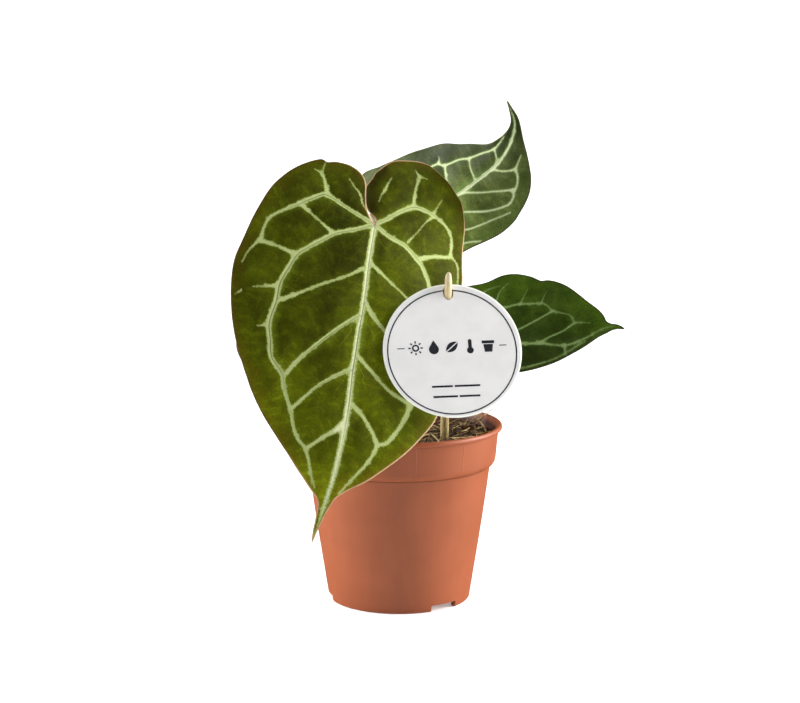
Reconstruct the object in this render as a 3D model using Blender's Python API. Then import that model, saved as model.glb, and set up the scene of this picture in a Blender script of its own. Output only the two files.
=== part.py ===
"""A young velvet-leaved anthurium in a 12 cm nursery pot, with its wooden stake and round label.

Every piece is one closed solid. Lengths are written in millimetres and turned into metres by MM.
The pieces are laid out about the pot's axis, with the pot standing on Z = 0. At the end the whole
plant is moved so that the centre of its bounding box, seen from above, stands on the origin.
"""
import math

import bmesh
import bpy
import numpy as np
from mathutils import Vector
from mathutils.bvhtree import BVHTree
from mathutils.geometry import delaunay_2d_cdt

MM = 0.001
GAP = 0.3                       # clearance between touching pieces

# Pot: outer profile as (radius, height), from the foot to the lip
POT_SEGMENTS = 48
POT_OUTSIDE = [(40.5, 0.0), (41.3, 0.8), (41.6, 3.1), (45.5, 27.2), (49.0, 50.0), (53.05, 79.2),
               (53.35, 80.2), (54.7, 80.7), (55.85, 82.0), (56.35, 84.5), (57.8, 100.2),
               (59.6, 100.7), (60.0, 101.4), (60.0, 102.3), (59.6, 103.1), (58.7, 103.5)]
POT_INSIDE = [(57.4, 103.0), (57.0, 101.6), (56.4, 97.0), (54.8, 83.0), (52.4, 80.6), (51.4, 76.0),
              (44.3, 27.2), (40.8, 6.4)]
FLOOR_UNDER = 4.2
FLOOR_TOP = 5.6
FLOOR_RADIUS = 39.7
FOOT_INSIDE = [(36.4, FLOOR_UNDER), (37.6, 3.2), (37.8, 0.0)]
NOTCH_SIZE = (9.0, 18.0, 7.6)             # through the foot, along it, and twice its height
NOTCH_RADIUS = 39.9
NOTCH_TURNS = (-51.0, 69.0, 189.0)        # degrees about the axis, from +X
DRAIN_RADIUS = 3.6
DRAIN_CIRCLE = 27.0
DRAIN_COUNT = 6
DRAIN_SIDES = 16
DRAIN_CUT = 8.0                 # height of the cutter, well past both faces of the floor

# Soil: fills the pot up to a slightly hollow, lumpy surface
SOIL_SEGMENTS = 36
SOIL_RINGS = 7
SOIL_LEVEL = 96.0
SOIL_LUMP = 0.66
SOIL_RADIUS = 55.6
SOIL_FOOT_RADIUS = 39.4
SOIL_WALL_GAP = 0.45
SOCKET_HEIGHT = 40.0            # the sockets' cutters run out through the top of the soil
STAKE_SOCKET_GAP = 0.35
ROOT_SOCKET_GAP = 0.4
ROOT_SOCKET_HEIGHT = 12.0

# Crown: the short stem that everything grows from
CROWN_AXIS = (0.0, 4.5)
CROWN_RADIUS = 7.5
CROWN_TOP = 106.0
CROWN_BOTTOM = 86.0
CROWN_PROFILE = [(0.0, CROWN_BOTTOM), (6.0, CROWN_BOTTOM), (CROWN_RADIUS, 88.0),
                 (CROWN_RADIUS, 101.0), (7.0, 105.0), (6.3, CROWN_TOP), (0.0, CROWN_TOP)]
CROWN_SEGMENTS = 24

# Stake and label
STAKE_RADIUS = 2.5
STAKE_IN_SOIL = (26.0, -15.0, 98.0)
STAKE_AT_LABEL = (27.5, -29.5, 183.6)
STAKE_FOOT_DEPTH = 55.0
STAKE_TIP_RISE = 11.8
STAKE_FOOT = [(0.0, 0.9), (6.0, 2.0), (12.0, STAKE_RADIUS)]      # distance up from its end, radius
STAKE_TIP = [(16.0, 2.15), (7.0, 2.08), (3.6, 1.8), (1.4, 1.25), (0.0, 0.5)]    # down from the tip
STAKE_SIDES = 16
LABEL_RADIUS = 39.0
LABEL_THICKNESS = 0.8
LABEL_SIDES = 56
HOLE_SIDES = 24
LABEL_HANG = 34.0               # from the hole's centre down to the disc's centre
LABEL_TURN = 5.5                # degrees: how far the label faces to the right
LABEL_LEAN = 27.0               # degrees: how far its face leans up
LABEL_ROLL = 1.3                # degrees: turned in its own plane
HOLE_HALF_WIDTH = 2.9
HOLE_HALF_HEIGHT = 4.4

# Leaves
BLADE_THICKNESS = 0.8
PETIOLE_RADIUS = 2.0
KNEE_RADIUS = 2.3               # the swelling under each blade
PETIOLE_STEP = 7.0
PETIOLE_SIDES = 8
PETIOLE_TAPER = 0.15            # share of its radius lost on the way up
PETIOLE_END = [KNEE_RADIUS, KNEE_RADIUS, 1.9, 1.1]      # radii over the knee to its end
KNEE_RISE = 6.0                 # the knee stands this far above the blade's joint, and ends below it
KNEE_BEHIND = 2.2               # extra room behind the blade at the knee
UNDER_BEHIND = 0.3
END_BEHIND = 1.4
LEAF_EDGE_STEP = 5.0

# One half of the back leaf's edge; the other half mirrors it
BACK_LEAF_EDGE = [(0, 1), (-8, 5), (-15, 11), (-17, 20), (-12, 28), (-2, 33), (12, 35), (28, 33),
                  (44, 28), (60, 21), (78, 11), (92, 3.5)]

BLADES = {
    "front": dict(
        midrib=[(-14, -10, 220), (-19, -26, 194), (-23, -43, 167), (-27, -61, 131), (-34, -76, 98),
                (-46.8, -89, 57)],
        face=(0.33, -0.80, 0.50), tip_face=(0.10, -0.90, 0.40),
        arch=(1.5, 3.0), fold=(0.0, 0.0), lobe_bend=6.0, mesh_step=9.0,
        left=[(0, -1), (-8, -6), (-17, -8.3), (-22, -8.8), (-28, -11), (-32, -16.5), (-33.4, -28),
              (-31.6, -33), (-32.4, -37.5), (-24.6, -48.6), (-10.7, -59.5), (6, -65.7), (24, -70),
              (40, -73), (58, -71.5), (76, -67), (93, -61), (110.4, -53.8), (128, -42.4),
              (148, -23), (160, -9.5), (166, -3.2), (176, -1.7)],
        tip=188,
        right=[(0, 1), (-8, -0.5), (-15, -4), (-22, -6), (-30.6, -4.4), (-37.3, -1.5), (-46, 6),
               (-50, 14.5), (-53.3, 27.3), (-49, 38), (-42, 46.5), (-36.6, 52), (-27, 54.5),
               (-11, 56.5), (6, 57.7), (18, 59.4), (30, 59), (42, 55.5), (52, 48.5), (61, 45),
               (70, 45.5), (82, 49), (94, 51.5), (105, 50.5), (115, 45), (129, 35), (146, 20),
               (154, 11), (161, 5), (168, 2.9), (178, 1.3)]),
    "upper_right": dict(
        midrib=[(15, 40, 220), (34, 35, 234), (48, 31, 246), (60, 26, 259), (66, 22, 275),
                (62, 20, 289)],
        face=(-0.05, -0.85, 0.50), tip_face=(-0.05, -0.85, 0.50),
        arch=(4.0, 4.0), fold=(0.0, 0.0), lobe_bend=5.0, mesh_step=8.0,
        left=[(0, 1), (-8, 5), (-17, 10), (-25, 17), (-30.5, 27), (-32, 38), (-30.5, 46),
              (-26.5, 50.4), (-20, 49.4), (-5, 45.5), (5.5, 42), (16, 38.9), (32, 31.9),
              (46, 19.8), (56, 11.5), (66, 6), (76, 2), (86, 0.7)],
        tip=94,
        right=[(0, -1), (-9, -5), (-18, -11), (-22, -19), (-20, -27), (-12, -32), (0, -31),
               (15, -32), (32, -35), (46, -33.4), (56, -28.5), (63, -19), (71, -9.5), (78, -4.5),
               (87, -1.6)]),
    "lower_right": dict(
        midrib=[(37, 12, 152), (60, 7, 151), (84, 0, 152), (107, -7, 156), (129, -14, 161)],
        face=(-0.10, -0.93, 0.30), tip_face=(-0.10, -0.93, 0.30),
        arch=(14.0, 2.0), fold=(-0.7, 0.0), lobe_bend=5.0, mesh_step=8.0,
        left=[(0, 1), (-8, 5), (-16, 11), (-18, 19), (-12, 26), (-4, 29), (9, 32.6), (19, 37.7),
              (27, 39.2), (34, 38.6), (40, 37.2), (46, 34.6), (52, 34.8), (58.5, 33), (66, 29),
              (75.5, 19.9), (82, 13.7), (85.5, 8), (90, 3.2)],
        tip=96.5,
        right=[(0, -1), (-8, -4), (-14, -8), (-14, -13), (-8, -16.5), (4, -18), (18, -18),
               (33, -16), (45, -13.5), (57, -9.9), (70.5, -5.6), (81, -1.5), (90, 0.2)]),
    "back_left": dict(
        midrib=[(-33, 24, 179), (-60, 31, 175), (-85, 37, 162), (-94, 44, 142), (-86, 50, 118)],
        face=(-0.35, -0.45, 0.80), tip_face=(-0.75, -0.50, 0.45),
        arch=(4.0, 4.0), fold=(0.0, 0.0), lobe_bend=5.0, mesh_step=8.0,
        left=BACK_LEAF_EDGE, tip=102,
        right=[(s, -t) for s, t in BACK_LEAF_EDGE]),
}

# Petioles: foot on the crown, then the bends on the way up to the blade. Where the knee shows in
# the blade's notch it leans a little to one side of the midrib.
PETIOLES = {
    "front": dict(foot=(-3.4, 0.8), lean=-2.2,
                  bends=[(-9, 9, 140), (-17, 13, 180), (-22, 9, 212)]),
    "upper_right": dict(foot=(1.5, 8.8), bends=[(4, 20, 140), (6, 36, 180), (5, 45, 206)]),
    "lower_right": dict(foot=(4.0, 2.6), bends=[(6, 7, 122), (14, 17, 140)]),
    "back_left": dict(foot=(-3.8, 7.2), bends=[(-5, 10, 130), (-13, 19, 156)]),
}

CATAPHYLLS = [dict(turn=150.0, rise=30.0, spread=46.0), dict(turn=35.0, rise=24.0, spread=42.0),
              dict(turn=268.0, rise=18.0, spread=38.0)]
SHEATH_FOOT = 98.6
SHEATH_OFF = 0.9                # between the crown and the middle of a sheath's thickness
SHEATH_LEAN = 2.5
SHEATH_TOP = 0.97               # share of its rise at which the narrowing sheath is cut off
SHEATH_THICKNESS = 0.6
SHEATH_ROWS = 6
ROOTS = [dict(turn=213.0, reach=15.0), dict(turn=90.0, reach=17.0), dict(turn=332.0, reach=13.0)]
ROOT_RADIUS = 1.1
ROOT_SIDES = 8
ROOT_STEP = 1.6

# Bark chips lying on the soil: place, size, turn
BARK = [((44, -22), (9, 5, 3), 20), ((37, -34), (7, 5, 3), 75), ((-30, -38), (10, 6, 3), 140),
        ((-45, 8), (8, 6, 4), 50), ((20, 36), (9, 5, 3), 110), ((-16, 42), (7, 5, 3), 10),
        ((41, 12), (8, 4, 3), 160), ((9, -43), (7, 5, 3), 60)]
# Bits of straw lying on the soil: place of the middle, length, turn
STRAW = [((39, -2), 26, 60), ((14, -27), 30, 160), ((-28, 20), 28, 80), ((12, 46), 24, 15),
         ((-14, -42), 22, 120)]
STRAW_RADIUS = 0.6
STRAW_SIDES = 6
STRAW_SPANS = 8
STRAW_BOW = 2.0
BARK_BEVEL = 0.5
BARK_TOP_SHARE = (0.72, 0.78)   # a chip's top is smaller than its underside

TERRACOTTA = (0.56, 0.165, 0.075, 1.0)
PEAT = (0.022, 0.013, 0.008, 1.0)
LEAF_GREEN = (0.045, 0.085, 0.012, 1.0)
PETIOLE_GREEN = (0.32, 0.30, 0.10, 1.0)
WOOD = (0.66, 0.46, 0.26, 1.0)
CARD = (0.72, 0.72, 0.73, 1.0)
DRY_SHEATH = (0.30, 0.17, 0.07, 1.0)
BARK_BROWN = (0.06, 0.03, 0.015, 1.0)
STRAW_YELLOW = (0.48, 0.33, 0.12, 1.0)


def clear_scene():
    for old in list(bpy.data.objects):
        bpy.data.objects.remove(old, do_unlink=True)


def finish(name):
    """A Principled material for each kind of piece, made once."""
    looks = {
        "terracotta_plastic": (TERRACOTTA, 0.42), "peat": (PEAT, 0.95),
        "leaf": (LEAF_GREEN, 0.5), "petiole": (PETIOLE_GREEN, 0.45), "wood": (WOOD, 0.6),
        "card": (CARD, 0.55), "dry_sheath": (DRY_SHEATH, 0.8), "bark": (BARK_BROWN, 0.9),
        "straw": (STRAW_YELLOW, 0.7),
    }
    material = bpy.data.materials.get(name)
    if material is None:
        material = bpy.data.materials.new(name)
        material.use_nodes = True
        shader = material.node_tree.nodes["Principled BSDF"]
        color, roughness = looks[name]
        shader.inputs["Base Color"].default_value = color
        shader.inputs["Roughness"].default_value = roughness
        shader.inputs["Metallic"].default_value = 0.0
    return material


def add_object(name, bm, look, smooth=True):
    """Turn a bmesh in millimetres into a named object in metres."""
    bmesh.ops.scale(bm, vec=(MM, MM, MM), verts=bm.verts)
    mesh = bpy.data.meshes.new(name)
    bm.to_mesh(mesh)
    bm.free()
    piece = bpy.data.objects.new(name, mesh)
    bpy.context.collection.objects.link(piece)
    mesh.materials.append(finish(look))
    if smooth:
        mesh.shade_smooth()
        mesh.set_sharp_from_angle(angle=math.radians(40))
    return piece


def hide_cutter(cutter):
    cutter.hide_render = True
    cutter.display_type = "WIRE"
    return cutter


def cut(piece, cutter):
    boolean = piece.modifiers.new("cut_" + cutter.name, "BOOLEAN")
    boolean.operation = "DIFFERENCE"
    boolean.solver = "EXACT"
    boolean.object = cutter


def smooth_line(points, per_span):
    """Catmull-Rom curve through the points, per_span steps between each two."""
    p = np.array(points, float)
    p = np.vstack([2 * p[0] - p[1], p, 2 * p[-1] - p[-2]])
    line = []
    for i in range(1, len(p) - 2):
        for k in range(per_span):
            x = k / per_span
            line.append(0.5 * (2 * p[i] + (p[i + 1] - p[i - 1]) * x
                               + (2 * p[i - 1] - 5 * p[i] + 4 * p[i + 1] - p[i + 2]) * x ** 2
                               + (3 * p[i] - p[i - 1] - 3 * p[i + 1] + p[i + 2]) * x ** 3))
    line.append(p[-2])
    return np.array(line)


def even_line(points, step):
    """The smooth line through the points, with its own points about step apart."""
    line = smooth_line(points, 12)
    run = np.concatenate([[0], np.cumsum(np.linalg.norm(np.diff(line, axis=0), axis=1))])
    count = max(2, round(run[-1] / step))
    stops = np.linspace(0, run[-1], count + 1)
    return np.stack([np.interp(stops, run, line[:, k]) for k in range(line.shape[1])], axis=-1)


def turned(bm, profile, segments):
    """Spin a profile of (radius, height) points, whose ends lie on the axis, into a closed solid."""
    verts = [bm.verts.new((radius, 0, height)) for radius, height in profile]
    edges = [bm.edges.new(pair) for pair in zip(verts, verts[1:])]
    bmesh.ops.spin(bm, geom=verts + edges, cent=(0, 0, 0), axis=(0, 0, 1),
                   angle=2 * math.pi, steps=segments, use_merge=True)
    bmesh.ops.remove_doubles(bm, verts=bm.verts, dist=0.001)
    bmesh.ops.recalc_face_normals(bm, faces=bm.faces)


def tube(bm, line, radii, sides):
    """A closed tube along a line, with a radius at each point."""
    line = np.array(line, float)
    ahead = np.gradient(line, axis=0)
    side = None
    rings = []
    for point, way, radius in zip(line, ahead, radii):
        way = Vector(way).normalized()
        if side is None:
            side = way.orthogonal().normalized()
        side = (side - side.dot(way) * way).normalized()
        up = way.cross(side)
        ring = []
        for k in range(sides):
            turn = 2 * math.pi * k / sides
            ring.append(bm.verts.new(Vector(point) + radius * (math.cos(turn) * side
                                                               + math.sin(turn) * up)))
        rings.append(ring)
    for ring, after in zip(rings, rings[1:]):
        for k in range(sides):
            bm.faces.new((ring[k], ring[(k + 1) % sides], after[(k + 1) % sides], after[k]))
    bm.faces.new(reversed(rings[0]))
    bm.faces.new(rings[-1])
    bmesh.ops.recalc_face_normals(bm, faces=bm.faces)


class Blade:
    """A leaf blade's middle surface: s runs along the midrib, t across it, both in millimetres."""

    def __init__(self, midrib, face, tip_face, arch, fold, lobe_bend, **outline):
        self.line = smooth_line(midrib, 40)
        gaps = np.linalg.norm(np.diff(self.line, axis=0), axis=1)
        self.run = np.concatenate([[0], np.cumsum(gaps)])
        self.length = self.run[-1]
        ahead = np.gradient(self.line, self.run, axis=0)
        self.ahead = ahead / np.linalg.norm(ahead, axis=1)[:, None]
        self.face = np.array(face) / np.linalg.norm(face)
        self.tip_face = np.array(tip_face) / np.linalg.norm(tip_face)
        self.arch = np.array(arch) * MM
        self.fold = fold
        self.lobe_bend = lobe_bend * MM
        self.outline = outline

    def frame(self, s):
        """Middle point, direction ahead, direction to the right and facing direction at s."""
        on_rib = np.clip(s, 0, self.length)
        middle = np.stack([np.interp(on_rib, self.run, self.line[:, k]) for k in range(3)], -1)
        ahead = np.stack([np.interp(on_rib, self.run, self.ahead[:, k]) for k in range(3)], -1)
        ahead /= np.linalg.norm(ahead, axis=-1)[..., None]
        share = (on_rib / self.length)[..., None]
        face = self.face * (1 - share) + self.tip_face * share
        face = face - (ahead * face).sum(-1)[..., None] * ahead
        face /= np.linalg.norm(face, axis=-1)[..., None]
        side = np.cross(face, ahead)
        turn = np.minimum(s, 0) * self.lobe_bend
        middle = (middle + ahead * (np.sin(turn) / self.lobe_bend)[..., None]
                  - face * ((1 - np.cos(turn)) / self.lobe_bend)[..., None]
                  + ahead * np.maximum(s - self.length, 0)[..., None])
        up = ahead * np.sin(turn)[..., None] + face * np.cos(turn)[..., None]
        return middle, ahead, side, up

    def point(self, s, t):
        s = np.asarray(s, float)
        t = np.asarray(t, float)
        middle, _, side, up = self.frame(s)
        one = (t > 0).astype(int)
        lift = np.array(self.fold)[one] * np.abs(t) - self.arch[one] * t * t
        return middle + t[..., None] * side + lift[..., None] * up

    def mesh(self, bm, edge_step):
        """The flat outline filled with triangles, then laid on the curved surface."""
        step = self.outline["mesh_step"]
        tip = (self.outline["tip"], 0)
        left = even_line(self.outline["left"] + [tip], edge_step)
        right = even_line(self.outline["right"] + [tip], edge_step)
        rim = np.vstack([left, right[-2::-1]])
        inner = []
        low, high = rim.min(axis=0), rim.max(axis=0)
        row_height = step * math.sqrt(0.75)
        for row in range(int((high[0] - low[0]) / row_height) + 1):
            for column in range(int((high[1] - low[1]) / step) + 1):
                spot = low + (row * row_height, (column + 0.5 * (row % 2)) * step)
                if inside(spot, rim) and clearance(spot, rim) > 0.55 * step:
                    inner.append(spot)
        flat = [Vector(spot) for spot in np.vstack([rim, inner])]
        loop = [(k, (k + 1) % len(rim)) for k in range(len(rim))]
        flat, _, faces, *_ = delaunay_2d_cdt(flat, loop, [], 1, 1e-6)
        spots = np.array([tuple(spot) for spot in flat])
        verts = [bm.verts.new(place) for place in self.point(spots[:, 0], spots[:, 1])]
        for face in faces:
            bm.faces.new([verts[k] for k in face])


def inside(spot, rim):
    """Even-odd test of a flat point against a closed rim."""
    ahead = np.roll(rim, -1, axis=0)
    crosses = (rim[:, 1] > spot[1]) != (ahead[:, 1] > spot[1])
    rise = np.where(crosses, ahead[:, 1] - rim[:, 1], 1.0)
    reach = rim[:, 0] + (spot[1] - rim[:, 1]) / rise * (ahead[:, 0] - rim[:, 0])
    return np.count_nonzero(crosses & (spot[0] < reach)) % 2 == 1


def clearance(spot, rim):
    return np.linalg.norm(rim - spot, axis=1).min()


def soil_height(x, y):
    """Lumpy top of the soil, a little lower towards the middle of each side."""
    lumps = (math.sin(0.21 * x + 0.6) * math.cos(0.18 * y - 0.3)
             + 0.6 * math.sin(0.37 * x - 0.29 * y + 1.1)
             + 0.4 * math.cos(0.13 * x + 0.41 * y))
    return SOIL_LEVEL + SOIL_LUMP * lumps


def make_pot():
    bm = bmesh.new()
    profile = [(0, FLOOR_UNDER), *FOOT_INSIDE, *POT_OUTSIDE, *POT_INSIDE,
               (FLOOR_RADIUS, FLOOR_TOP), (0, FLOOR_TOP)]
    turned(bm, profile, POT_SEGMENTS)
    pot = add_object("pot", bm, "terracotta_plastic")

    cutters = bmesh.new()
    for turn in NOTCH_TURNS:
        way = Vector((math.cos(math.radians(turn)), math.sin(math.radians(turn)), 0))
        made = bmesh.ops.create_cube(cutters, size=1)["verts"]
        bmesh.ops.scale(cutters, vec=NOTCH_SIZE, verts=made)
        bmesh.ops.rotate(cutters, cent=(0, 0, 0), verts=made,
                         matrix=way.to_track_quat("X", "Z").to_matrix())
        bmesh.ops.translate(cutters, vec=way * NOTCH_RADIUS, verts=made)
    for k in range(DRAIN_COUNT):
        turn = 2 * math.pi * k / DRAIN_COUNT
        made = bmesh.ops.create_cone(cutters, cap_ends=True, segments=DRAIN_SIDES,
                                     radius1=DRAIN_RADIUS, radius2=DRAIN_RADIUS,
                                     depth=DRAIN_CUT)["verts"]
        centre = (DRAIN_CIRCLE * math.cos(turn), DRAIN_CIRCLE * math.sin(turn), FLOOR_TOP)
        bmesh.ops.translate(cutters, vec=centre, verts=made)
    openings = hide_cutter(add_object("pot_openings", cutters, "terracotta_plastic", False))
    cut(pot, openings)


def make_soil():
    """The soil with its sockets. Returns the surface that loose pieces are set down on."""
    bm = bmesh.new()
    segments, rings = SOIL_SEGMENTS, SOIL_RINGS
    top = [[bm.verts.new((0, 0, soil_height(0, 0)))]]
    for ring in range(1, rings + 1):
        radius = SOIL_RADIUS * ring / rings
        row = []
        for k in range(segments):
            x = radius * math.cos(2 * math.pi * k / segments)
            y = radius * math.sin(2 * math.pi * k / segments)
            row.append(bm.verts.new((x, y, soil_height(x, y))))
        top.append(row)
    walls = [(radius - SOIL_WALL_GAP, height + SOIL_WALL_GAP) for radius, height in POT_INSIDE[3:]]
    walls.append((SOIL_FOOT_RADIUS, FLOOR_TOP + GAP))
    for radius, height in walls:
        row = []
        for k in range(segments):
            turn = 2 * math.pi * k / segments
            row.append(bm.verts.new((radius * math.cos(turn), radius * math.sin(turn), height)))
        top.append(row)
    for k in range(segments):
        bm.faces.new((top[0][0], top[1][k], top[1][(k + 1) % segments]))
        for row, below in zip(top[1:], top[2:]):
            bm.faces.new((row[k], below[k], below[(k + 1) % segments], row[(k + 1) % segments]))
    bm.faces.new(reversed(top[-1]))
    bmesh.ops.recalc_face_normals(bm, faces=bm.faces)
    ground = BVHTree.FromBMesh(bm)
    soil = add_object("potting_soil", bm, "peat")

    sockets = bmesh.new()
    made = bmesh.ops.create_cone(sockets, cap_ends=True, segments=CROWN_SEGMENTS,
                                 depth=SOCKET_HEIGHT, radius1=CROWN_RADIUS + GAP,
                                 radius2=CROWN_RADIUS + GAP)["verts"]
    centre = (*CROWN_AXIS, CROWN_BOTTOM - GAP + SOCKET_HEIGHT / 2)
    bmesh.ops.translate(sockets, vec=centre, verts=made)
    foot, _, _ = stake_axis()
    top_end = Vector(STAKE_AT_LABEL)
    tube(sockets, [foot - (top_end - foot).normalized() * GAP, top_end],
         [STAKE_RADIUS + STAKE_SOCKET_GAP] * 2, STAKE_SIDES)
    for root in ROOTS:
        line = root_line(root)
        end = line[-1] - Vector((0, 0, GAP))
        tube(sockets, [end, end + Vector((0, 0, ROOT_SOCKET_HEIGHT))],
             [ROOT_RADIUS + ROOT_SOCKET_GAP] * 2, ROOT_SIDES)
    cut(soil, hide_cutter(add_object("soil_sockets", sockets, "peat", False)))
    return ground


def ground_height(ground, x, y):
    """Height of the soil's surface straight below a point."""
    place, *_ = ground.ray_cast(Vector((x, y, 2 * SOIL_LEVEL)), Vector((0, 0, -1)))
    return place.z


def make_crown():
    bm = bmesh.new()
    turned(bm, CROWN_PROFILE, CROWN_SEGMENTS)
    bmesh.ops.translate(bm, vec=(*CROWN_AXIS, 0), verts=bm.verts)
    add_object("plant_crown", bm, "petiole")


def make_leaf(name, blade):
    bm = bmesh.new()
    blade.mesh(bm, LEAF_EDGE_STEP)
    leaf = add_object("leaf_" + name, bm, "leaf", smooth=False)
    leaf.data.shade_smooth()
    solidify = leaf.modifiers.new("thickness", "SOLIDIFY")
    solidify.thickness = BLADE_THICKNESS * MM
    solidify.offset = 0.0
    solidify.use_even_offset = True


def make_petiole(name, blade, foot, bends, lean=0.0):
    """From the crown's top up behind the blade, over the knee and down under the midrib."""
    middle, _, side, up = blade.frame(np.array([-KNEE_RISE, 0.0, KNEE_RISE]))
    skin = BLADE_THICKNESS / 2 + GAP
    roof = math.hypot(1, max(abs(slope) for slope in blade.fold))
    knee = middle[0] - up[0] * (skin + KNEE_RADIUS + KNEE_BEHIND) * roof + side[0] * lean
    under = middle[1] - up[1] * (skin + KNEE_RADIUS + UNDER_BEHIND) * roof
    end = middle[2] - up[2] * (skin + END_BEHIND) * roof
    start = np.array([*foot, CROWN_TOP + GAP])
    upright = start + (0, 0, PETIOLE_STEP / 2)
    bends = [np.array(bend, float) for bend in bends]
    line = np.vstack([start, even_line([upright, *bends, knee, under, end], PETIOLE_STEP)])
    last = len(line) - 1
    stem = [PETIOLE_RADIUS * (1 - PETIOLE_TAPER * k / last) for k in range(len(line))]
    radii = stem[:-len(PETIOLE_END)] + PETIOLE_END
    bm = bmesh.new()
    tube(bm, line, radii, PETIOLE_SIDES)
    add_object("petiole_" + name, bm, "petiole")


def sheath_point(turn, height, spread, rise):
    """A papery sheath hugging the crown: narrower and leaning out towards its tip."""
    share = height / rise
    radius = CROWN_RADIUS + SHEATH_OFF + SHEATH_LEAN * share ** 2
    angle = math.radians(turn + spread * (1 - share ** 1.6))
    return Vector((CROWN_AXIS[0] + radius * math.cos(angle),
                   CROWN_AXIS[1] + radius * math.sin(angle), SHEATH_FOOT + height))


def make_cataphyll(number, turn, rise, spread):
    bm = bmesh.new()
    grid = []
    for height in np.linspace(0, rise * SHEATH_TOP, SHEATH_ROWS + 1):
        grid.append([bm.verts.new(sheath_point(turn, height, aside, rise))
                     for aside in np.linspace(-spread, spread, SHEATH_ROWS + 1)])
    for low, high in zip(grid, grid[1:]):
        for k in range(SHEATH_ROWS):
            bm.faces.new((low[k], low[k + 1], high[k + 1], high[k]))
    sheath = add_object(f"cataphyll_{number}", bm, "dry_sheath")
    solidify = sheath.modifiers.new("thickness", "SOLIDIFY")
    solidify.thickness = SHEATH_THICKNESS * MM
    solidify.offset = 0.0


def root_line(root):
    """An aerial root: out of the crown's side, over in a low arch and down into the soil."""
    way = Vector((math.cos(math.radians(root["turn"])), math.sin(math.radians(root["turn"])), 0))
    centre = Vector((*CROWN_AXIS, 0))
    start = CROWN_RADIUS + GAP
    reach = root["reach"]
    heights = [(start, 99.9), (start + 2.2, 100.0), (reach - 1.5, 99.2), (reach, 97.0),
               (reach + 0.2, 91.0)]
    return [centre + way * radius + Vector((0, 0, height)) for radius, height in heights]


def make_root(number, root):
    line = even_line([tuple(point) for point in root_line(root)], ROOT_STEP)
    bm = bmesh.new()
    tube(bm, line, [ROOT_RADIUS] * len(line), ROOT_SIDES)
    add_object(f"aerial_root_{number}", bm, "dry_sheath")


def stake_axis():
    """Foot of the stake, its tip and its direction."""
    low = Vector(STAKE_IN_SOIL)
    high = Vector(STAKE_AT_LABEL)
    way = (high - low).normalized()
    return low - way * STAKE_FOOT_DEPTH, high + way * STAKE_TIP_RISE, way


def make_stake():
    foot, tip, way = stake_axis()
    length = (tip - foot).length
    profile = STAKE_FOOT + [(length - down, radius) for down, radius in STAKE_TIP]
    bm = bmesh.new()
    tube(bm, [foot + way * up for up, _ in profile], [radius for _, radius in profile],
         STAKE_SIDES)
    add_object("label_stake", bm, "wood")


def label_frame():
    """Centre of the label's hole, its right, up and facing directions."""
    turn, lean = math.radians(LABEL_TURN), math.radians(LABEL_LEAN)
    face = Vector((math.sin(turn) * math.cos(lean), -math.cos(turn) * math.cos(lean),
                   math.sin(lean)))
    right = Vector((0, 0, 1)).cross(face).normalized()
    up = face.cross(right)
    roll = math.radians(LABEL_ROLL)
    return Vector(STAKE_AT_LABEL), right * math.cos(roll) + up * math.sin(roll), \
        up * math.cos(roll) - right * math.sin(roll), face


def make_label():
    hole, right, up, face = label_frame()
    centre = hole - up * LABEL_HANG
    bm = bmesh.new()
    fronts, backs = [], []
    for back in (0, 1):
        off = face * (LABEL_THICKNESS * (0.5 - back))
        rim = []
        for k in range(LABEL_SIDES):
            turn = 2 * math.pi * k / LABEL_SIDES + math.pi / 2
            rim.append(bm.verts.new(centre + off + LABEL_RADIUS * (math.cos(turn) * right
                                                                   + math.sin(turn) * up)))
        oval = []
        for k in range(HOLE_SIDES):
            turn = 2 * math.pi * k / HOLE_SIDES + math.pi / 2
            oval.append(bm.verts.new(hole + off + HOLE_HALF_WIDTH * math.cos(turn) * right
                                     + HOLE_HALF_HEIGHT * math.sin(turn) * up))
        (backs if back else fronts).extend((rim, oval))
        edges = []
        for loop in (rim, oval):
            edges += [bm.edges.new((loop[k], loop[(k + 1) % len(loop)]))
                      for k in range(len(loop))]
        bmesh.ops.triangle_fill(bm, use_beauty=True, use_dissolve=False, edges=edges)
    for front, rear in zip(fronts, backs):
        for k in range(len(front)):
            after = (k + 1) % len(front)
            bm.faces.new((front[k], front[after], rear[after], rear[k]))
    bmesh.ops.recalc_face_normals(bm, faces=bm.faces)
    add_object("label_disc", bm, "card")


def make_bark(ground, number, place, size, turn):
    """An angular chip, flat underneath, set down on the soil with its clearance."""
    bm = bmesh.new()
    made = bmesh.ops.create_cube(bm, size=1)["verts"]
    bmesh.ops.scale(bm, vec=size, verts=made)
    for vert in bm.verts:
        if vert.co.z > 0:
            vert.co.x *= BARK_TOP_SHARE[0]
            vert.co.y *= BARK_TOP_SHARE[1]
    bmesh.ops.rotate(bm, cent=(0, 0, 0), verts=bm.verts,
                     matrix=Vector((math.cos(math.radians(turn)), math.sin(math.radians(turn)),
                                    0)).to_track_quat("X", "Z").to_matrix())
    bmesh.ops.bevel(bm, geom=bm.edges[:], offset=BARK_BEVEL, segments=1, affect="EDGES")
    lift = max(ground_height(ground, place[0] + v.co.x * share, place[1] + v.co.y * share) - v.co.z
               for v in bm.verts for share in (0.0, 0.3, 0.5, 0.75, 1.0) if v.co.z < 0)
    bmesh.ops.translate(bm, vec=(*place, lift + GAP), verts=bm.verts)
    add_object(f"bark_chip_{number}", bm, "bark", smooth=False)


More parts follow.
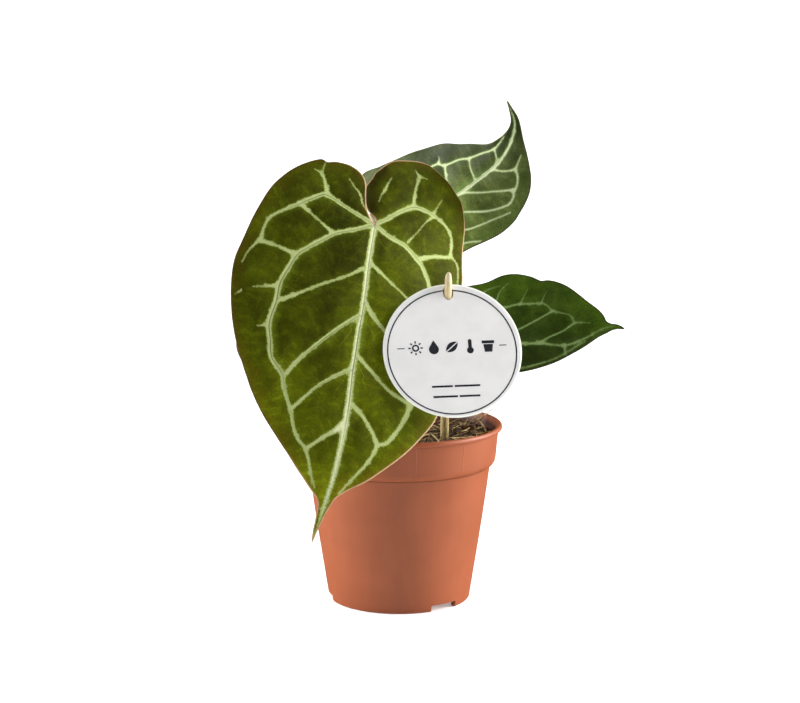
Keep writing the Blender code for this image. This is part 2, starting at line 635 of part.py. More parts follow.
def make_straw(ground, number, place, length, turn):
    """A slightly bent bit of straw, lying level on the highest lumps under it."""
    way = Vector((math.cos(math.radians(turn)), math.sin(math.radians(turn)), 0))
    line = []
    for k in range(STRAW_SPANS + 1):
        spot = Vector((*place, 0)) + way * (length * (k / STRAW_SPANS - 0.5))
        spot += Vector((-way.y, way.x, 0)) * (STRAW_BOW * math.sin(math.pi * k / STRAW_SPANS))
        line.append(spot)
    level = max(ground_height(ground, spot.x, spot.y) for spot in line)
    for spot in line:
        spot.z = level + STRAW_RADIUS + GAP
    bm = bmesh.new()
    tube(bm, line, [STRAW_RADIUS] * len(line), STRAW_SIDES)
    add_object(f"straw_{number}", bm, "straw")


def stand_on_origin():
    """Parent everything to one empty and centre the plant's bounding box over the origin."""
    bpy.context.view_layer.update()
    shapes = bpy.context.evaluated_depsgraph_get()
    corners = []
    for piece in bpy.data.objects:
        if piece.type == "MESH" and not piece.hide_render:
            corners += [tuple(corner) for corner in piece.evaluated_get(shapes).bound_box]
    low, high = np.min(corners, axis=0), np.max(corners, axis=0)
    plant = bpy.data.objects.new("plant_frame", None)
    bpy.context.collection.objects.link(plant)
    for piece in bpy.data.objects:
        if piece.type == "MESH":
            piece.parent = plant
    plant.location = (-(low[0] + high[0]) / 2, -(low[1] + high[1]) / 2, 0)
    bpy.context.view_layer.update()


def main():
    clear_scene()
    make_pot()
    ground = make_soil()
    make_crown()
    for name, shape in BLADES.items():
        blade = Blade(**shape)
        make_leaf(name, blade)
        make_petiole(name, blade, **PETIOLES[name])
    for number, sheath in enumerate(CATAPHYLLS, 1):
        make_cataphyll(number, **sheath)
    for number, root in enumerate(ROOTS, 1):
        make_root(number, root)
    make_stake()
    make_label()
    for number, (place, size, turn) in enumerate(BARK, 1):
        make_bark(ground, number, place, size, turn)
    for number, (place, length, turn) in enumerate(STRAW, 1):
        make_straw(ground, number, place, length, turn)
    stand_on_origin()


main()
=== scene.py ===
"""The looks of a young velvet-leaved anthurium in its nursery pot, with a wooden stake and label.

Pieces are laid out in millimetres about the pot's axis, with the pot standing on Z = 0, and settle()
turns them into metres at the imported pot's place.
"""
import math
import random

import bpy
import numpy as np
from mathutils import Matrix, Vector, noise
from mathutils.bvhtree import BVHTree
from mathutils.geometry import delaunay_2d_cdt


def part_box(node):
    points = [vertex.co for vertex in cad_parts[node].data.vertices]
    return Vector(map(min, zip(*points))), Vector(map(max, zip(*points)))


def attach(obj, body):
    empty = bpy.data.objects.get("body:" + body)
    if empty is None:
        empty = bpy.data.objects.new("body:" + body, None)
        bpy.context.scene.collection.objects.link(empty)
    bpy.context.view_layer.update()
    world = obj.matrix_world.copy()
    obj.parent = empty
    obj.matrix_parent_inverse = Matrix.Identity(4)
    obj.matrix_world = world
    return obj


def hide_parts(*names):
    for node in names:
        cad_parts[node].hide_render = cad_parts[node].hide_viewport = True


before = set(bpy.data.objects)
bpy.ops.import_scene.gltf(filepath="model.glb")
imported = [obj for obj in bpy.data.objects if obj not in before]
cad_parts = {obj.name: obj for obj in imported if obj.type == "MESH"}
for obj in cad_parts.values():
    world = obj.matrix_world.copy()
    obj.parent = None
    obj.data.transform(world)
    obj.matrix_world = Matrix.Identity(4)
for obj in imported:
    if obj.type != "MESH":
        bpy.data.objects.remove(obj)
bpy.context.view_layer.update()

MM = 0.001
WELD = 0.02                     # points closer than this are merged
pot_low, pot_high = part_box("pot")
POT_AXIS = Vector(((pot_low.x + pot_high.x) / 2, (pot_low.y + pot_high.y) / 2, 0))
TO_PLACE = Matrix.Translation(POT_AXIS) @ Matrix.Scale(MM, 4)

# Pot: wall as (radius, height), outside going up, inside going down
POT_FOOT = [(0.01, 4.2), (36.4, 4.2), (37.6, 3.2), (37.8, 0.0)]
POT_OUTSIDE = [(40.5, 0.0), (41.3, 0.8), (41.6, 3.1), (45.5, 27.2), (49.0, 50.0), (53.05, 79.2),
               (53.35, 80.2), (54.3, 80.4), (55.1, 81.0), (55.85, 82.2), (56.35, 84.5),
               (57.8, 100.1), (58.1, 100.5), (59.3, 100.6), (59.8, 100.9), (60.0, 101.4),
               (60.0, 102.2), (59.6, 103.0), (58.7, 103.5)]
POT_INSIDE = [(57.4, 103.0), (57.0, 101.6), (56.4, 97.0), (54.8, 83.0), (52.4, 80.6), (51.4, 76.0),
              (44.3, 27.2), (40.8, 6.4), (39.7, 5.6), (0.01, 5.6)]
POT_SEGMENTS = 144
BAND_HEIGHTS = (84.5, 98.5)
BAND_FOOT = 83.0
BAND_FLARE = 0.107              # how much the band widens with each millimetre of height
MOULD_LINES = 12
MOULD_LINE_START = 0.19
# Heights of the painted shade lines under the band's step and under the lip
STEP_SHADE_HEIGHT = 79.9
LIP_SHADE_HEIGHT = 100.2
NOTCH_TURNS = (-51.0, 69.0, 189.0)
NOTCH_SIZE = (9.0, 18.0, 7.6)
NOTCH_RADIUS = 39.9
DRAIN_CIRCLE = 27.0
DRAIN_RADIUS = 3.6
DRAIN_COUNT = 6
DRAIN_DEPTH = 8.0
FLOOR_TOP = 5.6

# Soil
SOIL_LEVEL = 96.0
SOIL_RADIUS = 56.1
SOIL_RING = 1.5
SOIL_SEGMENTS = 150
SOIL_WALL = [(55.6, 93.0), (54.2, 83.6), (51.8, 81.0), (50.9, 76.2), (43.8, 27.4), (39.4, 6.1),
             (0.01, 6.1)]
SOIL_LUMPS = [(16, 3.2), (5.0, 2.6), (2.2, 2.0)]
CRUMBS = 1500
CRUMB_KINDS = [(1.0, 0.8, 0.6), (1.0, 0.6, 0.75), (1.0, 0.9, 0.5), (1.3, 0.5, 0.4)]
FIBRES = 130
SPLINTERS = 26

# Crown, sheaths and aerial roots
CROWN_AXIS = (0.0, 4.5)
CROWN_RADIUS = 7.5
CROWN_FOOT = 86.0
CROWN_TOP = 106.0
SCARS = 14
SCAR_GAP = 1.05
SHEATHS = [dict(turn=150.0, rise=30.0, spread=46.0), dict(turn=35.0, rise=24.0, spread=42.0),
           dict(turn=268.0, rise=18.0, spread=38.0)]
SHEATH_FOOT = 98.6
SHEATH_GRID = (40, 26)
ROOTS = [dict(turn=213.0, reach=15.0), dict(turn=90.0, reach=17.0), dict(turn=332.0, reach=13.0)]
ROOT_RADIUS = 1.1
LONG_STRAWS = [[(43, 18.5, 100), (49, 21.5, 102.4), (56.3, 25.5, 107)],
               [(47.4, 24.5, 99.8), (49.5, 10, 99.6), (50.0, -6, 99.4)],
               [(22.8, -28.8, 98.0), (20, -28.3, 101), (17.1, -27.8, 103.2)],
               [(21.9, -29, 98.0), (23.6, -28.3, 99.9), (24.8, -27.8, 101.2)],
               [(16.4, -25, 98.0), (17, -24.4, 100), (17.6, -23.9, 102.2)],
               [(37.8, 13.6, 98.0), (39, 14.2, 100.4), (40.3, 14.7, 102.4)],
               [(41.5, 24, 98.2), (43.5, 25.5, 100.6), (46.8, 26.5, 103)],
               [(51, 0.2, 98.0), (48.4, 0.6, 102), (45.2, 1.2, 105.6)],
               [(34.8, 1, 98.0), (33.4, 1.5, 100), (31.6, 2, 101.6)],
               [(45.3, 22, 98.0), (48.2, 22.6, 101), (51.4, 23.2, 104.2)],
               [(-12, -46, 98.8), (-2, -40, 99.8), (6, -31, 98.8)]]
LONG_STRAW_RADIUS = 0.45
BARK = [((44, -22), (9, 5, 3), 20), ((37, -34), (7, 5, 3), 75), ((-30, -38), (10, 6, 3), 140),
        ((-45, 8), (8, 6, 4), 50), ((20, 36), (9, 5, 3), 110), ((-16, 42), (7, 5, 3), 10),
        ((41, 12), (8, 4, 3), 160), ((9, -43), (7, 5, 3), 60)]

# Stake and label
STAKE_RADIUS = 2.5
STAKE_IN_SOIL = Vector((26.0, -15.0, 98.0))
STAKE_AT_LABEL = Vector((27.5, -29.5, 183.6))
STAKE_FOOT_DEPTH = 55.0
STAKE_TIP_RISE = 12.3
STAKE_FOOT = [(0.01, 0.0), (0.9, 0.02), (2.0, 6.0), (STAKE_RADIUS, 12.0), (STAKE_RADIUS, 50.0)]
STAKE_TIP = [(2.15, 16.0), (2.13, 8.0), (2.05, 5.4), (1.88, 3.6), (1.62, 2.1), (1.25, 1.0),
             (0.75, 0.3), (0.01, 0.0)]
LABEL_RADIUS = 39.0
LABEL_HALF = 0.4
LABEL_HANG = 34.0
LABEL_TURN, LABEL_LEAN, LABEL_ROLL = (math.radians(angle) for angle in (5.5, 27.0, 1.3))
LABEL_HOLE = (2.9, 4.4)
LABEL_BEVEL = 0.8
LABEL_BEVEL_DROP = 0.25
RING_RADIUS = 36.1
RING_WIDTH = 0.75
PRINT_OFF_CENTRE = (-0.2, -0.85)
INK_RISE = 0.06
SIGN_ROW = 2.8                  # height of the row of care signs
SIGN_GAP = 10.2                 # from each sign to the next
SIGN_DASH = 28.6                # how far out the dash on each side lies
SUN_RAYS = 8
LEAF_SIGN_TILT = math.radians(40)
WRITING_RULES = [(-7.0, -20.0, 11.6), (7.0, -20.0, 14.2), (-5.6, -25.9, 13.6), (8.0, -25.9, 11.4)]

# Room, in metres
SWEEP_SIZE = (9.0, 6.0, 1.0)
SWEEP_HEIGHT = 3.5
SWEEP_BEND = 1.0
SWEEP_GLOWS = (0.32, 0.9)       # near and far
SWEEP_DEPTHS = (0.3, 2.2)       # where the near glow ends and the far one is reached
AIR_GLOW = 0.02                 # how brightly the air shines
AIR_SEEN = 0.85                 # how bright it looks
SOFTBOXES = [
    dict(name="left_softbox", place=(-1.20, 0.12, 0.45), aim=(0, 0, 0.15), size=(0.7, 1.2),
         power=36.5),
    dict(name="right_softbox", place=(1.20, 0.12, 0.45), aim=(0, 0, 0.15), size=(0.7, 1.2),
         power=42.0),
    dict(name="top_softbox", place=(0.0, -0.35, 1.5), aim=(0, 0, 0.1), size=(1.4, 1.4),
         power=7.5, mirrored_in_skin=False),
]
CAMERA_ASIDE = 0.0005
CAMERA_AWAY = 1.2
CAMERA_HEIGHT = 0.344
CAMERA_AIM_HEIGHT = 0.1453
LENS_LENGTH = 94.55             # in millimetres, like the film's width
FILM_WIDTH = 36.0

# Leaves
SKIN_HALF = 0.24
RIM_BEAD = 0.34
VEIN_BLEND = 0.62               # how softly neighbouring veins run together
VEIN_STEP = 1.5
RIM_STEP = 1.2
FILL_STEP = 1.75                # between the points that fill the blade
SPURRED_WIDTH = 0.65            # veins narrower than this grow no side shoots
SWELL_SIZE, SWELL_RISE = 26, 0.5
RIPPLE_SIZE, RIPPLE_REACH = 13, 9.0
PUCKER_REACH = 3.6
FURROW_DEPTH, FURROW_WIDTH = 0.22, 0.45
RIB_RISE, RIB_WIDTH = 0.5, 0.9
CHART_SIZE = 260                # a blade's flat chart is this many millimetres across
# What the skins' finishes read at each point of a blade; shade is painted light and shade across it,
# tuck the painted shade of a tucked-back lobe
BLADE_FIELDS = ("vein_gap", "vein_side", "groove", "pale", "stout", "reach", "rim_gap", "across",
                "tuck", "shade")

# One half of the back leaf's edge and veins; the other half mirrors them
BACK_EDGE = [(0, 1), (-8, 5), (-15, 11), (-17, 20), (-12, 28), (-2, 33), (12, 35), (28, 33),
             (44, 28), (60, 21), (78, 11), (92, 3.5)]
BACK_VEINS = [
    ((0.8, 0.9, 0.5), 0.6, [(0, 0), (-6, 9), (-5, 18), (4, 25), (18, 26)]),
    ((0.9, 0.8, 0.5), 0.6, [(0, 0), (12, 12), (26, 20), (40, 21), (58, 15), (76, 7)]),
    ((0.6, 0.4, 0.5), 0.2, [(22, 0.5), (32, 9), (40, 21)]),
    ((0.6, 0.4, 0.5), 0.2, [(44, 0.5), (54, 8), (60, 14)]),
    ((0.3, 0.25, 0.15), 0.0, [(18, 26), (32, 29), (46, 24)]),
]
BACK_MIDRIB = ((1.0, 0.8, 0.3), 1.0, [(0, 0), (50, 0), (99, 0)])


def mirrored(veins):
    """The same veins on the other half of the blade."""
    return [(widths, groove, [(s, -t) for s, t in line]) for widths, groove, line in veins]


# The front blade's right margin where it dips behind the left lobe, and the line past which
# its points belong to the right lobe
FRONT_NOTCH = [(0, 0.3), (-3.2, 0.6), (-4.8, -0.7), (-7.0, -3.6), (-10.7, -5.5), (-15.7, -7.0),
               (-20, -7.8), (-24.6, -7.7), (-28, -6.4), (-30.8, -5.0), (-34.3, -3.9)]
FRONT_RIGHT_LOBE = [(0, 0), (-4, -2.3), (-8, -5.0), (-10.6, -6.4), (-16, -7.6), (-21, -8.4),
                    (-25, -8.9), (-30, -9.5), (-60, -30)]

# Each vein: half widths evenly spaced along it, depth of its groove, and its line
FRONT_VEINS = [
    ((1.55, 1.5, 1.4, 1.4, 1.5, 1.6, 1.4, 1.0, 0.1), 1.0, [(0, 0), (18, 0.4), (28, 0.8), (40, 1.4),
     (56, 1.3), (66, 0.7), (76, 0.3), (90, -0.6), (99, -0.5), (113, -0.1), (140, 0.5), (154, 0.7),
     (183, 0.2)]),
    ((0.8, 0.8, 1.0, 0.6, 0.5), 0.8, [(0, 0), (-4.5, -14.5), (-10.2, -29.5), (-8.8, -34.2),
     (-1, -44), (4.5, -51), (10.8, -58.2), (16.5, -60.5), (25, -61.5)]),
    ((0.5, 0.35, 0.12), 0.0, [(24, -61), (31.8, -66.4), (39.5, -68.8)]),
    ((1.1, 0.55, 0.12), 0.0, [(-10.5, -29.5), (-17.3, -32.1), (-23.3, -35), (-24.6, -39.6)]),
    ((0.3, 0.2, 0.12), 0.0, [(-23, -35), (-28, -34.5), (-31, -34)]),
    ((0.8, 0.4, 1.1), 0.0, [(25.5, -61.5), (26.5, -53.2), (29, -41.5)]),
    ((0.1, 0.4, 0.25), 0.0, [(-24, -19), (-20.5, -16), (-17.5, -12.2), (-14.5, -10.3), (-10.8, -9),
     (-6, -5)]),
    ((1.3, 0.35, 0.35, 0.9), 0.0, [(-1, -44), (4.5, -35.5), (11.8, -23)]),
    ((0.9, 0.95, 1.1, 1.2, 1.25, 1.05, 0.65, 0.6, 0.3), 0.9, [(0, 0), (7, -11.8), (11.4, -20.6),
     (17.1, -27.2), (23.8, -34.6), (29.2, -40), (36.8, -43), (47.2, -46.6), (56.5, -47),
     (62.6, -48.2), (69.5, -49.3), (78.5, -47.5), (88, -45.8), (97.5, -39), (107.4, -36.2),
     (119.5, -30.5), (128, -27.5), (135, -23.2), (138.7, -18.4), (144, -15.5), (151.5, -12),
     (159, -7.5)]),
    ((0.9, 0.3, 0.12), 0.0, [(48.8, -48), (51.8, -60.5)]),
    ((0.35, 0.25, 0.1), 0.0, [(54.3, -66.6), (57, -69.5)]),
    ((0.8, 0.35, 0.12), 0.0, [(69.8, -49.5), (71.3, -55.3)]),
    ((0.6, 0.42, 0.45, 0.9), 0.2, [(28, -1.5), (35.3, -10.5), (44, -24.5), (53.2, -39.2),
     (56.8, -46.5)]),
    ((0.9, 0.7, 0.75, 1.0), 0.7, [(57.4, -0.5), (68, -12.3), (76.2, -20.6), (87, -30.6),
     (97.3, -37)]),
    ((0.9, 0.5, 0.65), 0.4, [(89, -2), (97, -13.5), (104.2, -20.7), (118, -30.8)]),
    ((2.3, 1.1, 0.65, 0.7), 0.0, [(120.5, -0.5), (124.5, -4), (130, -10), (138, -17)]),
    ((0.9, 1.0, 1.15, 1.15, 0.75, 0.55, 0.55), 0.6, [(0, 0), (-6, 7), (-12.8, 13.6), (-18.8, 21.2),
     (-20, 28), (-18.6, 37), (-14, 45.4), (-6.8, 48.8), (1.5, 49.2)]),
    ((0.4, 0.32, 0.3), 0.0, [(1.5, 49.3), (6, 54.5), (15, 56.3), (26, 56.5)]),
    ((0.9, 0.36, 0.42), 0.0, [(-19.5, 21.3), (-31, 21.3), (-42, 22.8)]),
    ((0.42, 0.3, 0.12), 0.0, [(-42, 22.8), (-45, 19.8)]),
    ((0.35, 0.25, 0.1), 0.0, [(-42, 22.8), (-41.8, 27.5)]),
    ((0.1, 0.25, 0.6, 0.35, 0.1), 0.0, [(-15.2, 0.2), (-19.8, 1.1), (-24.2, 2.9), (-28.5, 4),
     (-33.5, 5.6)]),
    ((0.6, 0.2, 0.1), 0.0, [(-20, 34.5), (-26, 36.3), (-31.6, 38.3)]),
    ((0.6, 0.16, 0.16, 0.5), 0.0, [(-18, 34.5), (-11, 29.5), (-3, 25.5), (4, 21.5)]),
    ((1.0, 1.0, 1.15, 1.0, 0.75), 0.5, [(0, 0), (4.6, 9.8), (7, 20), (12.4, 28.8), (15.5, 32.6),
     (24, 38), (33.5, 41)]),
    ((1.2, 0.7, 0.7), 0.0, [(12, 29.5), (7, 38), (3.2, 48.8)]),
    ((0.7, 0.4, 0.4), 0.1, [(23.5, 2), (27, 7.5), (33.8, 18.3), (38, 25.5), (46, 38)]),
    ((1.1, 0.7, 0.7), 0.2, [(49, 3), (55.8, 8.1), (62, 14.5), (72.5, 25.5), (79, 38)]),
    ((0.8, 0.55, 0.65), 0.1, [(80.5, 1.5), (88.5, 10.5), (97.5, 22), (102, 35)]),
    ((1.1, 0.65, 0.8), 0.0, [(108.5, 1.8), (113.6, 8.4), (121.6, 15.8), (127.3, 19.8)]),
    ((0.8, 1.0, 1.1, 0.9, 0.6, 0.4), 0.1, [(33.5, 41), (52, 38), (77.5, 40), (93, 39.5), (102, 35),
     (109.5, 32.8), (118, 29), (125, 25), (127.4, 20), (131.4, 19.4), (139.4, 16), (148.5, 11),
     (158, 6.2)]),
]
UPPER_VEINS = [
    ((1.0, 1.0, 0.95, 0.95, 0.9, 0.75, 0.5, 0.2), 0.6, [(0, 0), (12, -1), (24.3, -1.3),
     (37.3, -1.8), (50.8, -2.7), (60.3, -2.3), (70, -1.8), (79, -1), (90, 0.1)]),
    ((0.9, 0.7, 0.5), 0.1, [(0, 0), (7, 14), (13.5, 25.5)]),
    ((0.6, 0.55, 0.5, 0.48, 0.36), 0.1, [(13.5, 25.5), (22.3, 23.4), (26, 19.6), (36.3, 16.2),
     (42.3, 12.2), (50, 9.2), (59.5, 5), (70, 3.3)]),
    ((0.6, 0.62, 0.65), 0.1, [(26, 19.6), (24, 14.2), (22, 9), (21, 0)]),
    ((0.42, 0.4, 0.45), 0.0, [(42.3, 12.2), (39.5, 7.3), (37.8, 0)]),
    ((0.4, 0.4), 0.0, [(59, 4.8), (56, 0), (54, -2)]),
    ((0.5, 0.3, 0.12), 0.0, [(23.5, 24), (25.2, 25.4), (25.5, 27)]),
    ((0.8, 0.6, 0.3), 0.1, [(0, 0), (-10, 12), (-17, 24), (-14, 36), (-2, 38), (13.5, 25.5)]),
    ((0.55, 0.46, 0.44, 0.3), 0.0, [(50, -3.2), (54.6, -8.8), (59, -12.6), (61, -12),
     (65.5, -10.8)]),
    ((0.44, 0.46, 0.5), 0.0, [(59, -13.2), (57.5, -17), (54.2, -20.9), (52, -21)]),
    ((0.6, 0.5, 0.5), 0.0, [(26.5, -2), (29.8, -4), (38, -10.4), (51.5, -20)]),
    ((0.6, 0.6, 0.55, 0.52, 0.5), 0.1, [(52, -21), (50.5, -23.6), (45.8, -25.4), (39.5, -23.5),
     (32, -19.5), (21.5, -12), (10, -6), (0, 0)]),
    ((0.42, 0.5, 0.5), 0.0, [(42.5, -29.4), (33.3, -26.3), (16.8, -21.2), (8, -12), (0, 0)]),
    ((0.45, 0.42, 0.3), 0.0, [(21, -32), (12.3, -27.6), (-4, -26), (-12, -20), (-9, -10), (0, 0)]),
]
LOWER_VEINS = [
    ((0.8, 0.55, 0.35, 0.2), 0.4, [(0, 0), (35.5, -1.4), (46, -1.5), (58.5, -3.5), (66, -2.9),
     (79, 0.4), (84, 2), (91, 2.2)]),
    ((0.7, 0.6, 0.4, 0.3, 0.12), 0.2, [(0, 0), (6, 9), (14, 16), (24, 19.3), (32.7, 21.4),
     (47, 21.6), (51.5, 19.6), (54.5, 16.8), (61.5, 14.3), (65.5, 12.6), (67.5, 8.5), (72, 7.5),
     (77, 6.5)]),
    ((0.5, 0.4, 0.4), 0.1, [(20, 0), (33, 6.5), (40.5, 10.3), (48, 13.8), (54.8, 16.6)]),
    ((0.4, 0.35, 0.4), 0.0, [(46, -1), (52.5, 1.8), (60.5, 4.4), (67.5, 8)]),
    ((0.6, 0.45, 0.15), 0.0, [(4, 18), (10, 28), (19, 32)]),
    ((0.5, 0.4, 0.12), 0.0, [(16, 17), (18, 24), (19.5, 29), (25, 34)]),
    ((0.4, 0.22, 0.1), 0.0, [(32.7, 21.4), (37, 30)]),
    ((0.35, 0.2, 0.1), 0.0, [(46.5, 22), (50.5, 28)]),
    ((0.35, 0.25, 0.12), 0.0, [(59.5, -3.5), (58.7, -8)]),
    ((0.5, 0.35, 0.2), 0.0, [(0, 0), (2, -9), (12, -14), (28, -14.8), (45, -11.6), (58, -7.8),
     (72, -2.9)]),
]

# Each blade: its midrib, the way it faces at its foot and tip, how its left and right halves arch
# and fold, how its lobes bend back, and its edge and veins as (along the midrib, across it)
LEAVES = {
    "front": dict(
        midrib=[(-14, -10, 220), (-19, -26, 194), (-23, -43, 167), (-27, -61, 131), (-34, -76, 98),
                (-46.8, -89, 57)],
        face=(0.33, -0.80, 0.50), tip_face=(0.10, -0.90, 0.40),
        arch=(1.5, 3.0), fold=(0.0, 0.0), lobe_bend=6.0,
        left=[(0, -0.5), (-3.9, -4.1), (-7.7, -6.1), (-10.5, -7.1), (-17, -8.3), (-22, -8.9),
              (-26.8, -10.5), (-30.2, -13.6), (-32.2, -17), (-33.6, -21.3), (-33.4, -28),
              (-31.6, -33), (-32.4, -37.4), (-24.6, -48.6), (-10.7, -59.5), (6, -65.7), (24, -70),
              (40, -73), (58, -71.5), (76, -67), (93, -61), (110.4, -53.8), (128, -42.4),
              (148, -23.2), (156.2, -14), (160, -9.5), (163.2, -5.3), (166.2, -3.0), (170, -2.2),
              (176, -1.6), (182, -1.0)],
        tip=188,
        right=[*FRONT_NOTCH, (-37.5, -1.5), (-45.8, 5.8), (-50, 14.5), (-53, 26), (-50.3, 35),
               (-46, 42), (-42, 46.3), (-36.6, 51.4), (-27.3, 54.2), (-18, 55.6), (-5, 56.2),
               (6, 57.7), (15, 59), (30, 59), (42, 55.5), (52, 48.5), (61, 45), (70, 45.5),
               (82, 49), (94, 51.5), (105, 50.5), (115, 45), (129, 35), (146, 20), (154.2, 10.9),
               (158, 7.3), (161.3, 4.9), (165.2, 3.6), (170.2, 2.4), (176, 1.5), (182, 0.7)],
        veins=FRONT_VEINS),
    "upper_right": dict(
        midrib=[(15, 40, 220), (34, 35, 234), (48, 31, 246), (60, 26, 259), (66, 22, 275),
                (62, 20, 289)],
        face=(-0.05, -0.85, 0.50), tip_face=(-0.05, -0.85, 0.50),
        arch=(4.0, 4.0), fold=(0.0, 0.0), lobe_bend=5.0,
        left=[(0, 1), (-8, 5), (-17, 10), (-25, 17), (-30.5, 27), (-32, 38), (-30.5, 46),
              (-26.5, 50.4), (-20, 49.4), (-14, 47.2), (-5, 45.2), (5.5, 42), (16, 38.9),
              (32, 31.9), (46, 19.8), (56, 11.5), (66, 6), (76, 2), (86, 0.7)],
        tip=94,
        right=[(0, -1), (-9, -5), (-18, -11), (-22, -19), (-20, -27), (-12, -32), (0, -31),
               (15, -32), (32, -35), (46, -33.4), (56, -28.5), (63, -19), (71, -9.5), (78, -4.5),
               (87, -1.6)],
        veins=UPPER_VEINS),
    "lower_right": dict(
        midrib=[(37, 12, 152), (60, 7, 151), (84, 0, 152), (107, -7, 156), (129, -14, 161)],
        face=(-0.10, -0.93, 0.30), tip_face=(-0.10, -0.93, 0.30),
        arch=(14.0, 2.0), fold=(-0.7, 0.0), lobe_bend=5.0,
        left=[(0, 1), (-8, 5), (-16, 11), (-18, 19), (-12, 26), (-4, 29), (9, 32.6), (19, 37.7),
              (27, 39.2), (34, 38.6), (40, 37.2), (45.5, 35.1), (48.5, 34.9), (52, 34.9),
              (58.5, 33.2), (66, 29), (75.5, 19.9), (82, 13.7), (85, 9.5), (86.4, 5.8), (89, 3.7),
              (92.5, 2.6)],
        tip=96.5,
        right=[(0, -1), (-8, -4), (-14, -8), (-14, -13), (-8, -16.5), (4, -18), (18, -18),
               (33, -16), (45, -13.5), (57, -9.9), (70.5, -5.6), (81, -1.5), (90, 0.4)],
        veins=LOWER_VEINS),
    "back_left": dict(
        midrib=[(-33, 24, 179), (-60, 31, 175), (-85, 37, 162), (-94, 44, 142), (-86, 50, 118)],
        face=(-0.35, -0.45, 0.80), tip_face=(-0.75, -0.50, 0.45),
        arch=(4.0, 4.0), fold=(0.0, 0.0), lobe_bend=5.0,
        left=BACK_EDGE, tip=102,
        right=[(s, -t) for s, t in BACK_EDGE],
        veins=[BACK_MIDRIB, *BACK_VEINS, *mirrored(BACK_VEINS)]),
}

# How each blade is raised between its veins, how it ripples, and where a lobe is tucked back
RELIEF = {
    "front": dict(pucker=0.85, ripple=0.7, tuck=FRONT_NOTCH + [(-37.5, -1.5)], tuck_reach=13.0,
                  tuck_depths=[(0, 0), (4.6, 0.8), (7, 1.6), (10.7, 3.0), (15.7, 4.8), (20, 6.0),
                               (24.6, 4.4), (30.8, 2.6), (34.7, 1.6), (40.2, 0.5)]),
    "upper_right": dict(pucker=0.9, ripple=0.8),
    "lower_right": dict(pucker=0.8, ripple=0.6),
    "back_left": dict(pucker=0.9, ripple=0.8),
}

# How light or dark each blade is painted, mostly painted light and shade with some of the skin's own
# tone: places along the midrib and across it, and a share at each
PAINTED_LIGHT_AND_TONE = {
    "front": ((-45, -20, 0, 15, 35, 60, 85, 102, 118, 138, 155, 176), (-60, -38, -18, 15, 50),
              ((0.90, 0.80, 0.74, 1.00, 1.15), (0.85, 0.80, 0.74, 0.88, 1.05),
               (0.88, 0.75, 0.40, 1.00, 0.90), (0.98, 0.98, 0.50, 0.88, 1.10),
               (0.86, 0.90, 0.60, 1.35, 0.78), (0.88, 0.84, 0.72, 1.78, 1.00),
               (1.10, 1.20, 1.12, 1.75, 1.12), (1.40, 1.40, 1.15, 1.40, 1.20),
               (1.55, 1.55, 0.95, 1.35, 1.20), (1.70, 1.50, 1.22, 1.55, 1.30),
               (1.70, 1.80, 2.30, 2.40, 1.40), (1.10, 1.30, 1.60, 1.90, 1.10))),
    "upper_right": ((-10, 20, 50, 80), (-28, -10, 5, 25),
                    ((1.3, 1.1, 1.3, 0.95), (2.5, 3.0, 2.2, 0.75), (2.0, 1.2, 0.80, 0.62),
                     (1.0, 0.7, 0.55, 0.45))),
    "lower_right": ((20, 50, 75, 90), (-12, 3, 15, 30),
                    ((0.7, 0.9, 1.1, 1.7), (0.65, 0.65, 0.97, 1.35), (0.7, 1.25, 1.15, 1.5),
                     (1.7, 2.1, 2.1, 2.1))),
    "back_left": ((0, 100), (0, 30), ((0.6, 0.6), (0.30, 0.30))),
}

# Petioles: foot on the crown, bends on the way up, and how far the knee leans to one side
PETIOLES = {
    "front": dict(foot=(-3.4, 0.8), lean=-2.6,
                  bends=[(-9, 9, 140), (-17, 13, 180), (-22, 9, 212)]),
    "upper_right": dict(foot=(1.5, 8.8), bends=[(4, 20, 140), (6, 36, 180), (5, 45, 206)]),
    "lower_right": dict(foot=(4.0, 2.6), bends=[(6, 7, 122), (14, 17, 140)]),
    "back_left": dict(foot=(-3.8, 7.2), bends=[(-5, 10, 130), (-13, 19, 156)]),
}
PETIOLE_RADIUS = 2.0
KNEE_RADIUS = 2.3
KNEE_SKIN = 0.7                 # from the blade's middle surface to its underside at the knee


def rgb(red, green, blue):
    """A paint-chart colour of 0 to 255 as the linear colour a shader takes."""
    shares = [value / 255 for value in (red, green, blue)]
    return (*[x / 12.92 if x <= 0.04045 else ((x + 0.055) / 1.055) ** 2.4 for x in shares], 1.0)
